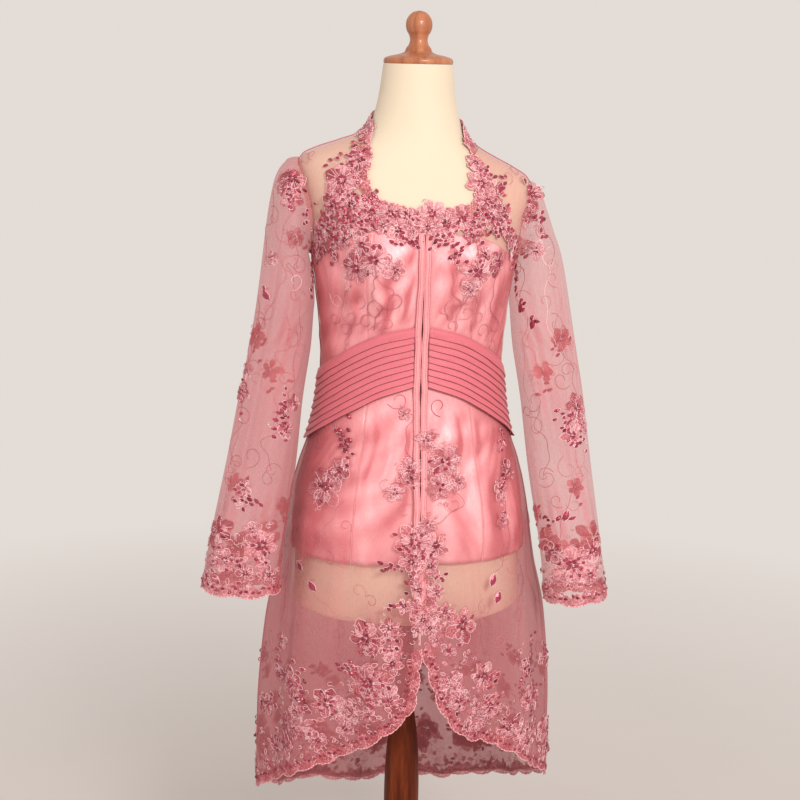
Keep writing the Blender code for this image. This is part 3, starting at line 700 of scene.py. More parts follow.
SKIRT_CREASES = np.array((
    (60, 560, 66, 800, 2.2, 8), (118, 600, 128, 940, 3.5, 10), (160, 575, 180, 860, -2.5, 9),
    (205, 640, 212, 1050, 4, 11), (262, 580, 280, 900, 3, 10), (330, 620, 345, 1090, 4.2, 12),
    (395, 590, 388, 980, -3, 10), (425, 700, 430, 1140, 4, 11), (-48, 700, -40, 860, 1.8, 7),
    (-88, 560, -98, 830, 3, 9), (-125, 640, -140, 990, 3.6, 10), (-172, 570, -186, 900, -2.4, 9),
    (-222, 660, -228, 1060, 4, 12), (-275, 600, -292, 930, 3, 9), (-322, 640, -330, 1110, 4.4, 12),
    (-385, 600, -372, 960, 3, 10), (-418, 720, -412, 1150, -3.4, 11), (20, 545, 110, 560, 1, 8),
    (-150, 552, -50, 540, 1, 8),
)) / 1000  # fmt: skip
SATIN_CREASES = np.array((
    (-94, 455, -52, 530, 3.4, 14), (-60, 440, -20, 520, 3, 13), (-40, 500, -78, 640, -2.6, 13),
    (-80, 540, -30, 700, 3.8, 16), (-22, 480, -36, 640, 3.2, 12), (-100, 600, -92, 720, 4, 15),
    (-64, 640, -58, 720, 3.2, 11), (24, 470, 66, 545, 3.2, 14), (70, 500, 40, 650, -2.4, 14),
    (36, 560, 46, 720, 3.8, 16), (88, 530, 90, 720, 4, 15), (140, 560, 150, 720, 3.6, 15),
    (200, 580, 215, 720, -2.4, 14), (-150, 560, -158, 720, 3.6, 14), (-210, 580, -222, 720, -2.4, 14),
    (270, 580, 280, 720, 3.8, 15), (350, 570, 345, 720, 3.4, 14), (-290, 580, -300, 720, 3.6, 15),
    (-370, 570, -380, 720, 3.4, 15), (430, 590, 428, 720, 3.4, 13),
)) / 1000  # fmt: skip
SATIN_BUST_CREASES = np.array((
    (-64, 232, -56, 392, 2.8, 11), (-40, 262, -50, 380, -1.4, 9), (-27, 280, -31, 356, 2.6, 8),
    (-112, 250, -96, 390, 2.6, 12), (-84, 296, -34, 330, 2.2, 9), (-78, 342, -36, 364, 2, 8),
    (30, 245, 42, 350, 2.4, 9), (56, 270, 50, 365, -1.4, 9), (78, 248, 70, 382, 2.6, 11),
    (124, 260, 106, 395, 2.6, 12), (28, 322, 84, 300, 2, 8),
)) / 1000  # fmt: skip
SLEEVE_CREASES = np.array((
    # as above, but across the sleeve from its inner seam, over the front and round
    (70, 230, 100, 620, 3, 11), (110, 200, 130, 480, -2.5, 10), (40, 330, 75, 560, 2.6, 9),
    (20, 300, 110, 390, 2.4, 10), (30, 420, 120, 450, 2.2, 9), (60, 560, 70, 740, 3.4, 11),
    (115, 520, 135, 740, 3.6, 12), (150, 250, 160, 600, 2.6, 11), (190, 260, 200, 560, 3, 11),
    (235, 330, 215, 700, -2.8, 11), (270, 300, 250, 520, 2.8, 10), (300, 360, 230, 420, 2.2, 9),
    (200, 600, 205, 740, 3.4, 12), (270, 580, 262, 740, 3.4, 11), (310, 480, 300, 700, 2.6, 10),
)) / 1000  # fmt: skip
CRUMPLE = 0.0013  # height of the slow slanting wave under the creases
SATIN_TOP = 0.222  # depth at centre front
NET_CLEAR = 0.735  # the depth from which the net hangs free of the satin's creases


def satin_creases(angle, depth):
    """Creases that the satin shares with the net over it, flat beside the opening, the belt and the edges."""
    across = arc(angle)
    beside = eased((abs(across) - 0.011) / 0.008)
    above = eased((line_at(BELT_TOP, angle) - depth) / 0.02) * eased((depth - SATIN_TOP) / 0.02)
    below = eased((depth - line_at(BELT_BOTTOM, angle)) / 0.035)
    # Two slow slanting waves that cross, and two fine ones; their numbers are radians for each metre.
    slant = across * 72 + depth * 46 + 2.2 * np.sin(depth * 23 + across * 13)
    counter = depth * 52 - across * 30 + 2 * np.sin(across * 31 + 1)
    fine = across * 230 + 5 * np.sin(depth * 33 + 1), depth * 74 + 4 * np.sin(across * 47)
    drift = np.sin(slant) * np.sin(counter) + 0.4 * np.sin(fine[0]) * np.sin(fine[1])
    upper = (creases(across, depth, SATIN_BUST_CREASES) + CRUMPLE * drift) * above
    return (upper + (creases(across, depth, SATIN_CREASES) + CRUMPLE * drift) * below) * beside


def net_points(grid, lift):
    """Mid-wall points of a net piece with its creases; grid holds angle and depth."""
    angle, depth = grid[..., 0], grid[..., 1]
    across = arc(angle)
    out = lift + creases(across, depth, BODICE_CREASES) * eased((line_at(BELT_TOP, angle) - depth) / 0.02)
    out = out + np.maximum(satin_creases(angle, depth), 0) * eased((NET_CLEAR - depth) / 0.06)
    below = eased((depth - line_at(BELT_BOTTOM, angle)) / 0.03)
    return lifted(angle, depth, "net", out + creases(across, depth, SKIRT_CREASES) * below)


def net_lifts(count, step):
    """Mid-wall lift of each dense row: the net comes down to the form above the satin."""
    first = (count - 1) // step + 1 - len(YOKE)
    above = np.arange(count) / step - first - SATIN_FRONT_LAST_ROW
    return mix(NET_LIFT, YOKE_LIFT, np.clip(above / 3, 0, 1))[:, None] + NET_WALL / 2


def front_rows(side):
    """Rows of the front on a side (1 the left, -1 the right), as if it were on the left."""
    lower = [placket_edge(row, side) for row in lower_rows(side * FRONT_ANGLES, "hem", SKIRT_SHARES)]
    return [row * (side, 1) for row in lower] + front_yoke_rows()


def wavy(grid):
    """The hem's slight unevenness, fading up the cloth."""
    out = grid.copy()
    rows = 3 * PER_ROW
    fade = np.linspace(1, 0, rows)[:, None] ** 2
    away = abs(round_front(out[:rows, :, 0]))
    sway = 0.0022 * np.sin(away * 0.16) + 0.0014 * np.sin(away * 0.37 + 1)
    out[:rows, :, 1] += sway * fade * eased((away - 12) / 14)
    return out


def front_piece(side):
    grid = wavy(dense(inset(front_rows(side), FRONT_OPENING / 2, SEAM_GAP), PER_ROW, PER_COLUMN))
    grid = grid if side > 0 else mirrored(grid)
    return net_points(grid, net_lifts(len(grid), PER_ROW))


def back_piece():
    rows = lower_rows(back_angles(), "hem", SKIRT_SHARES) + back_yoke_rows()
    grid = wavy(dense(inset(rows, SEAM_GAP, SEAM_GAP), PER_ROW, PER_COLUMN - 1))
    return net_points(grid, net_lifts(len(grid), PER_ROW))


def armhole_edge():
    """Angle and depth up the armhole's front edge, on the same curve as the front's own."""
    edge = Curve(np.arange(len(YOKE)), [(a, d) for _, _, a, d in YOKE])
    last = len(YOKE) - 1
    return edge(np.linspace(ARMHOLE_FIRST_ROW, last, (last - ARMHOLE_FIRST_ROW) * PER_ROW + 1))


CUFF_BACK_LOWER = 0.011
UNDERARM_FILL = 0.0120  # how far the sleeve's inner side bulges against the body below the armhole
HEAD_EASE = {"in": 0.0035, "down": 0.0065}  # how far the outer side is drawn in and down near the armhole
SLEEVE_CAPS = {1: (0.0045, 2), -1: (0.0030, 1.2)}  # each sleeve head's rise, and over how many rings
SHOULDER_REACH = 0.10  # metres from the axis to the armhole's edge, about
SLEEVE_RINGS = 19
SLEEVE_ROUND = 0.335  # metres round it, for placing its creases


def on_yoke(points):
    """1 over the yoke, fading to 0 below it."""
    return eased((points[..., 2] - CAP_UNDERSIDE + YOKE_FOOT) / 0.03)


def doubling_and_shade(name, points, ring):
    """How much denser than one layer each part of a net piece looks, and how far its colour is darkened with
    painted shade.
    """
    if ring:
        turn = 2 * math.pi * np.arange(points.shape[1]) / points.shape[1]
        return DOUBLED_AND_SHADED[name] + SLEEVE_FOLDED_AND_SHADED * np.clip(np.cos(turn), 0, 1) ** 2
    depth = CAP_UNDERSIDE - points[..., 2]
    low = eased((depth - LOW_SKIRT) / 0.12)
    beside = eased((abs(points[..., 0]) / np.hypot(points[..., 0], points[..., 1]) - 0.82) / 0.16)
    low = low + beside * eased((depth - GATHERS_FROM) / 0.05) * (1 - low)
    added = mix(DOUBLED_AND_SHADED_LOW.get(name, 0), GATHERED_AND_SHADED, beside)
    return DOUBLED_AND_SHADED.get(name, 0) + added * low + DOUBLED_AND_SHADED_HIGH.get(name, 0) * on_yoke(points)


def sleeve_piece(side):
    """Rings of the sleeve from the armhole to the cuff, each from the inner seam over the front and round."""
    edge = armhole_edge()
    gap, above = math.degrees(3.4 * SEAM_GAP / SHOULDER_REACH), -2.5 * SEAM_GAP
    loop = np.concatenate((edge + (gap, above), (edge * (-1, 1) + (180 - gap, above))[-2:0:-1]))
    head = lifted(side * loop[:, 0], loop[:, 1], "net", YOKE_LIFT + NET_WALL / 2 + 0 * loop[:, 0])
    count = len(loop)
    turn = 2 * math.pi * np.arange(count) / count
    rings = [head]
    crown = np.clip(-np.cos(turn), 0, 1)
    grow = NET_WALL / 2
    for share in (np.arange(SLEEVE_RINGS) / (SLEEVE_RINGS - 1)) ** 1.15:
        station = SLEEVE_CURVE(share * (len(SLEEVE) - 1))
        inner_x, inner_depth, outer_x, outer_depth, middle_y, half_y, left_in = station
        if side > 0:
            outer_x -= left_in
            inner_depth += LEFT_CUFF_LOWER * share**2
            outer_depth += LEFT_CUFF_LOWER * share**2
        out = 0.5 - 0.5 * np.cos(turn)
        x = mix(inner_x - grow, outer_x + grow, out)
        depth = mix(inner_depth, outer_depth, out)
        z = CAP_UNDERSIDE - depth - level_drop(side * x, depth)
        z = z - CUFF_BACK_LOWER * np.clip(-np.sin(turn), 0, 1) * share**6
        near, underarm = math.exp(-share / 0.03), math.exp(-(((share - 0.06) / 0.12) ** 2))
        x = x - HEAD_EASE["in"] * near * crown - UNDERARM_FILL * underarm * (1 - out)
        z = z - HEAD_EASE["down"] * near * crown
        rings.append(np.stack((side * x, middle_y - (half_y + grow) * np.sin(turn), z), -1))
    places = np.linspace(0, SLEEVE_RINGS, SLEEVE_RINGS * PER_ROW + 1)
    points = Curve(np.arange(SLEEVE_RINGS + 1), rings)(places)
    rise, reach = SLEEVE_CAPS[side]
    cap = rise * np.sin(math.pi * np.clip(places / reach, 0, 1)) ** 0.7
    points[..., 2] += cap[:, None] * crown
    around = np.linspace(0, SLEEVE_ROUND, count)[None, :] + (0.006 if side > 0 else 0)
    down = CAP_UNDERSIDE - points[..., 2]
    out = creases(around, down, SLEEVE_CREASES) * eased((down - 0.22) / 0.05)
    return points + normals_of(points, True, side > 0) * out[..., None]


def satin_pieces():
    """Grids of the lining: two fronts, two side panels beyond the princess seams, and a back."""
    lower = [placket_edge(row) for row in lower_rows(FRONT_ANGLES, SATIN_HEM, SATIN_SHARES)]
    upper = front_yoke_rows()
    middle = [row[: PRINCESS_COLUMN + 1] for row in lower + upper[: SATIN_FRONT_LAST_ROW + 1]]
    side = [row[PRINCESS_COLUMN:] for row in lower + upper[: SATIN_FRONT_LAST_ROW + 1]]
    rear = lower_rows(back_angles(), SATIN_HEM, SATIN_SHARES) + back_yoke_rows()[: SATIN_SIDE_LAST_ROW + 1]
    middle = dense(inset(middle, FRONT_OPENING / 2, SEAM_GAP / 2), PER_ROW, PER_COLUMN)
    side = dense(inset(side, SEAM_GAP, SEAM_GAP), PER_ROW, PER_COLUMN - 2)
    curved = eased(np.linspace(0, 1.3, side.shape[1])) * 1.4 / (len(lower) + SATIN_FRONT_LAST_ROW)
    side = shortened(side, 1 - curved)
    rear = dense(inset(rear, SEAM_GAP, SEAM_GAP), PER_ROW, PER_COLUMN - 2)
    fronts = {"front_left": middle, "front_right": mirrored(middle)}
    return fronts | {"side_left": side, "side_right": mirrored(side), "back": rear}


def shortened(grid, tops):
    """The grid with each column ending at its own share of the way up, so that the top edge curves."""
    rows = np.arange(len(grid))
    out = np.empty_like(grid)
    for j, top in enumerate(tops):
        for k in (0, 1):
            out[:, j, k] = np.interp(rows * top, rows, grid[:, j, k])
    return out


SATIN_DIP = 0.0016  # how deep its creases may dip before they meet the form


def satin_points(grid, creased=True):
    angle, depth = grid[..., 0], grid[..., 1]
    out = np.maximum(satin_creases(angle, depth), -SATIN_DIP)
    return lifted(angle, depth, "satin", SATIN_LIFT + SATIN_WALL / 2 + out * creased)


SATIN_PAINTED_LIGHT = np.array((-0.70, -0.25, 0.67))  # the way that the sides of its creases face where painted highlight falls; sides facing away get painted shade
SATIN_PAINTED_LIT_SIDE = 9  # degrees to the form's right of centre front where the satin above the belt is painted brightest
SATIN_PAINTED_BRIGHTEST = 0.48  # painted shading, as a share: where it is painted brightest, the painted shade toward the sides, and how much lighter it is painted again behind
SATIN_PAINTED_SIDE_SHADE = 0.28
SATIN_PAINTED_BACK_LIGHTENING = 0.16
SATIN_PAINTED_SHADE_FROM = (46, 26)  # degrees from there at which the painted side shade begins, above the belt and below it
SATIN_PAINTED_CONTRAST = 2.0  # painted shading for each unit that a crease leans to the light


def painted_shading_of(grid, points):
    """Painted light and shade for the satin: how far it leans to the light, by its creases and its place
    round the body.
    """
    lean = normals_of(points) - normals_of(satin_points(grid, False))
    low = eased((grid[..., 1] - 0.38) / 0.08)
    away = abs(round_front(grid[..., 0] + mix(SATIN_PAINTED_LIT_SIDE, 1, low)))
    lost, won = eased((away - mix(*SATIN_PAINTED_SHADE_FROM, low)) / 22), eased((away - 100) / 40)
    shaded = SATIN_PAINTED_SIDE_SHADE * lost - SATIN_PAINTED_BACK_LIGHTENING * won
    return np.clip(SATIN_PAINTED_BRIGHTEST - shaded + SATIN_PAINTED_CONTRAST * lean @ SATIN_PAINTED_LIGHT, 0, 1)


WAIST_REACH = 0.128  # metres from the axis to the belt's front, about
PLAIN_BAND = 0.15  # the plain band's share of the belt's height


def belt_points(angles, turn):
    """The belt's face: a plain band at the top, then tucks, each rising to a fold at its lower edge."""
    folds = np.linspace(PLAIN_BAND, 1, TUCKS + 1)
    shares = [0.0, PLAIN_BAND * 0.5, PLAIN_BAND - 0.010, PLAIN_BAND - 0.002]
    rises = [0.0, 0.5, 1.1, 1.0]
    for start, end in zip(folds, folds[1:]):
        shares += [start + 0.004, (start + end) / 2, end - 0.010, end - 0.002]
        rises += [0.0, 0.55, 1.1, 1.0]
    fine = np.linspace(angles[0], angles[-1], 6 * (len(angles) - 1) + 1)
    top, bottom = line_at(BELT_TOP, fine), line_at(BELT_BOTTOM, fine)
    grid = np.array([stacked(fine, mix(top, bottom, s)) for s in shares])
    if angles[0] == 0:
        first = math.degrees((PLACKET_WIDTH + SEAM_GAP) / WAIST_REACH)
        grid[..., 0] = mix(first, 90, grid[..., 0] / 90)
    grid = inset(grid, SEAM_GAP, SEAM_GAP)
    grid = mirrored(grid) if turn else grid
    lift = BELT_LIFT + BELT_WALL + TUCK_RISE * np.array(rises)[:, None] + 0 * grid[..., 0]
    lift += 0.0004 * np.sin(grid[..., 0] * 0.23 + np.arange(len(shares))[:, None] * 0.9)
    return lifted(grid[..., 0], grid[..., 1], "net", lift)


OVER_BELT = (0.335, 0.452)  # the depths between which the placket stands out beside the belt, and how far
PLACKET_STEP = 0.0022


def placket_points(side):
    """A strip along the opening, from the neckline to the top of the split."""
    depth = np.linspace(YOKE[NECKLINE_FIRST_ROW][1], SPLIT_TOP, 130)[:, None]
    width = net_half_width(depth)
    across = np.array((FRONT_OPENING / 2, 0.0016, 0.0024, 0.0066, 0.0074, PLACKET_WIDTH))
    rise = np.array((0.0, 0.0002, 0.0003, 0.0003, 0.0002, 0.0))
    sway = 0.0004 * np.sin(depth * 60) + 0.0003 * np.sin(depth * 143 + 1)
    angle = np.degrees(np.arcsin((across + sway) / width))
    top, bottom = OVER_BELT
    beside_belt = eased((depth - top) / 0.015) * eased((bottom - depth) / 0.015)
    lift = PLACKET_LIFT + PLACKET_WALL / 4 + rise + PLACKET_STEP * beside_belt + 0 * angle
    if side < 0:
        angle, lift = -angle[:, ::-1], lift[:, ::-1]
    return lifted(angle, depth + 0 * angle, "net", lift)


TAPE = {"inside": 0.012, "half_width": 0.0032, "under": 0.0001}  # the last under the net's inner face


def underlap():
    """The strip behind the opening that carries the hidden hooks, coloured dark as painted shadow in the
    slit.
    """
    top, bottom = YOKE[NECKLINE_FIRST_ROW][1] + TAPE["inside"], SPLIT_TOP - TAPE["inside"]
    depth = np.linspace(top, bottom, 90)[:, None]
    angle = np.degrees(np.linspace(-1, 1, 5) * TAPE["half_width"] / net_half_width(depth))
    return lifted(angle, depth + 0 * angle, "net", NET_LIFT - TAPE["under"] + 0 * angle)


TIPS_LOWER = (0.004, 0.011)  # how far the collar's left and right front corners have dropped


def collar_points():
    front = [(a, d) for a, d, _, _ in YOKE[COLLAR_FIRST_ROW:]]
    top = back_yoke_rows()[-1]
    base = np.array(front + [(a, d) for a, d in top if 91 < a <= 180])
    start = base[0, 0]
    rows = []
    tip = eased((115 - base[:, 0]) / 60)
    for share in (0, 1 / 3, 2 / 3, 1):
        slope = COLLAR_SLOPE * share * (180 - base[:, 0]) / (180 - start)
        height = share * line_at(COLLAR_HEIGHT, base[:, 0])
        half = np.stack((base[:, 0] + slope, base[:, 1] - 2.5 * SEAM_GAP - height), -1)
        left, right = (half + np.stack((0 * tip, share * lower * tip), -1) for lower in TIPS_LOWER)
        rows.append(np.concatenate((left, right[-2::-1] * (-1, 1) + (360, 0))))
    grid = dense(np.array(rows), 8, 10)
    return lifted(grid[..., 0], grid[..., 1], "net", YOKE_LIFT + NET_WALL / 2 + 0 * grid[..., 0])


FORM_SIDES = 120


def form_skin():
    """The limbless form, smooth from its rounded underside to the top of its neck."""
    angle = np.linspace(0, 360, FORM_SIDES, endpoint=False)
    lower, upper = np.linspace(FORM_BOTTOM - 0.006, 0.330, 45), np.linspace(0.325, 0.0, 55)
    angle, depth = np.meshgrid(angle, np.concatenate((lower, upper)))
    points = lifted(angle, depth, "form", 0 * depth)
    points[-1, :, 2] = CAP_UNDERSIDE - 0.0002
    rounding = []
    for inward, down in ((0.0035, 0.0058), (0.0012, 0.0040), (0.0002, 0.0018)):
        ring = points[0].copy()
        ring[:, :2] *= 1 - inward / 0.14
        ring[:, 2] -= down
        rounding.append(ring)
    underside = [rounding[0] * (inward, inward, 1) for inward in (0, 0.5)]
    return np.concatenate((underside, rounding, points))


def travel(points):
    """How far along a line each of its points is."""
    return np.concatenate(((0,), np.cumsum(np.linalg.norm(np.diff(points, axis=0), axis=1))))


TURNED_SIDES = 64


def turned(name, profile, material):
    """A turned piece: a smooth profile swept round the upright axis."""
    travelled = travel(profile)
    outline = Curve(travelled, profile)(np.linspace(0, travelled[-1], 8 * len(profile)))
    turn = np.linspace(0, 2 * math.pi, TURNED_SIDES, endpoint=False)
    radius, height = outline[:, :1], outline[:, 1:]
    points = np.stack((radius * np.cos(turn), radius * np.sin(turn), height + 0 * turn), -1)
    return add_grid(name, points[::-1], material, ring=True)


# ---------------------------------------------------------------- the blouse
NET = net_look()
SATIN = satin_look()
BELT = belt_look("belt_coral", (0.560, 0.116, 0.148), (0.624, 0.144, 0.180))
PLACKET = belt_look("placket_pink", (0.640, 0.240, 0.256), (0.720, 0.312, 0.328))
# Painted shadow: a dark burgundy for the cords in the tucks' folds and for the hook tape in the slit.
SHADOW_BURGUNDY = belt_look("painted_shadow_burgundy", (0.128, 0.010, 0.021), (0.208, 0.024, 0.036))
SATIN_THREAD = belt_look("satin_thread", (0.720, 0.368, 0.376), (0.776, 0.448, 0.448))
SEAM_THREAD = belt_look("seam_thread", (0.400, 0.080, 0.096), (0.528, 0.136, 0.152))
CORD = {"princess": 0.0008, "tuck": 0.00062, "stitches": 0.00030, "split": 0.0008, "seam": 0.0007}  # radii
BELT_SHELL = 0.0008  # the belt's shell is thinner than its solid, and the dark cords of its tucks' painted shadows lie on it
TUCK_SHADOW_OUT = 0.0009
BELT_SHARP = 35  # degrees at which its tucks have sharp edges
FACES_IN = "sleeve_left"  # the one net piece whose grid runs so that its faces have to be turned round
net_grids = {f"front_{name}": front_piece(side) for name, side in SIDES.items()}
net_grids["back"] = back_piece()
net_grids |= {f"sleeve_{name}": sleeve_piece(side) for name, side in SIDES.items()}
net_grids["collar"] = collar_points()
cloth, sewn, cuts = {}, {}, dict(net_grids)
for name, points in net_grids.items():
    ring = name.startswith("sleeve")
    made = add_grid(f"net_{name}", points, NET, ring, name == FACES_IN)
    # Paints the fold cover on each net piece, and the doubling with its painted shade.
    shade_folds(made, points, ring, doubling_and_shade(name, points, ring), 0 if ring else on_yoke(points))
    cloth[name] = put(made, "net", name)
for name, grid in satin_pieces().items():
    points = satin_points(grid)
    cuts[f"satin_{name}"] = points
    made = add_grid(f"lining_{name}", points, SATIN)
    # Painted shade and highlight on the satin, from its creases and its place round the body.
    paint(made, "painted_shading", painted_shading_of(grid, points))
    cloth[f"satin_{name}"] = put(thicken(made, SATIN_WALL), "satin", f"satin_{name}")
    if name.startswith("front"):
        column = -1 if name == "front_left" else 0
        edge = points[:, column] + normals_of(points)[:, column] * SATIN_WALL / 2
        seam = cords(f"princess_seam_{name}", [edge], CORD["princess"], SATIN_THREAD)
        sewn[f"satin_{name}"] = [put(seam, "satin")]
for name, angles in (("left", FRONT_ANGLES), ("right", FRONT_ANGLES), ("back", back_angles())):
    points = belt_points(angles, name == "right")
    cuts[f"belt_{name}"] = points
    made = add_grid(f"sash_{name}", points, BELT, flip=True)
    made.data.set_sharp_from_angle(angle=math.radians(BELT_SHARP))
    cloth[f"belt_{name}"] = put(thicken(made, BELT_SHELL), "belt", f"belt_{name}")
    # Painted shadow: dark cords along each tuck's fold and the belt's lower edge stand for the shade under
    # them.
    out = TUCK_SHADOW_OUT * normals_of(points, flip=True)
    lines = [points[4 + 4 * i] + out[4 + 4 * i] for i in range(TUCKS)] + [points[-1] + out[-1] * 0.3]
    sewn[f"belt_{name}"] = [put(cords(f"tucks_{name}", lines, CORD["tuck"], SHADOW_BURGUNDY), "belt")]
for name, side in SIDES.items():
    points = placket_points(side)
    cuts[f"placket_{name}"] = points
    made = add_grid(f"strip_{name}", points, PLACKET, flip=True)
    cloth[f"placket_{name}"] = put(thicken(made, PLACKET_WALL / 2, False), "belt", f"placket_{name}")
    proud = points + (0, -PLACKET_WALL / 2, 0)
    lines = [proud[:, i] for i in (0, 2, 3, -1)]
    stitched = cords(f"placket_stitches_{name}", lines, CORD["stitches"], BELT)
    sewn[f"placket_{name}"] = [put(stitched, "belt")]
# The hook tape is a real underlap, coloured with painted shadow so that the slit reads dark.
cuts["hook_tape"] = underlap()
cloth["hook_tape"] = put(add_grid("hook_tape", cuts["hook_tape"], SHADOW_BURGUNDY), "belt")

# ---------------------------------------------------------------- the form and its stand
put(add_grid("form_skin", form_skin(), form_look(), ring=True), "form", "form_body")
LIGHT_STREAKS = (0.255, 0.072, 0.030), (0.399, 0.140, 0.064), (0.476, 0.187, 0.093)
DARK_STREAKS = (0.043, 0.007, 0.003), (0.111, 0.019, 0.006), (0.204, 0.043, 0.012)
LIGHT_WOOD = wood_look("varnished_cap", 0.2, *LIGHT_STREAKS)
DARK_WOOD = wood_look("varnished_post", 0.0, *DARK_STREAKS)
put(turned("turned_neck_cap", CAP_PROFILE, LIGHT_WOOD), "wood", "neck_cap")
put(turned("turned_post", POST_PROFILE, DARK_WOOD), "wood", "post")
put(turned("turned_base", BASE_PROFILE, DARK_WOOD), "wood", "base")


# ---------------------------------------------------------------- embroidery
RIM = 0.00034  # a cord's radius round a petal, and a vine's
VINE = 0.00042
FLAT_LIFT = 0.0008  # how far a vine lies over the cloth, a petal's rim, and loops and veins over the petals
RIM_LIFT = 0.0009
OVER_LIFT = 0.0018
PETAL_DOME = 0.0008  # how far a petal bulges, and how much more each round of petals does and lies higher
LAYER_LIFT = 0.0006
SEQUIN_DOME = 0.0028
BEAD = 0.0011  # a crystal's radius; crystals are near white, as painted glints
CURL_TURNS = 0.95
TENDRIL_SWING = 0.0035  # how far a tendril sways to each side
FULL_TURN = 6.28
PETAL_AREA = 0.000030  # of a lace ground, for each of its petals
LEAF = {"long": 0.0084, "wide": 0.0047, "apart": 0.0052}
PAIR_LEAF = {"long": 0.0185, "wide": 0.0095}
LEAF_ROWS = 5
LEAF_COLUMNS = 4
LAID_FROM = 0.012  # how far outside the cloth a shape comes down from, and how far it looks for the cloth
LAID_REACH = 0.04
PAST_EDGE = 0.004  # how far it may stand out where it passes the cloth's edge


def heading(turn):
    """The way on the flat that is turned from up."""
    return np.array((-math.sin(turn), math.cos(turn)))


def facing(normal, way):
    """The normal, turned round if it faces away from a way."""
    return normal if normal.dot(way) > 0 else -normal


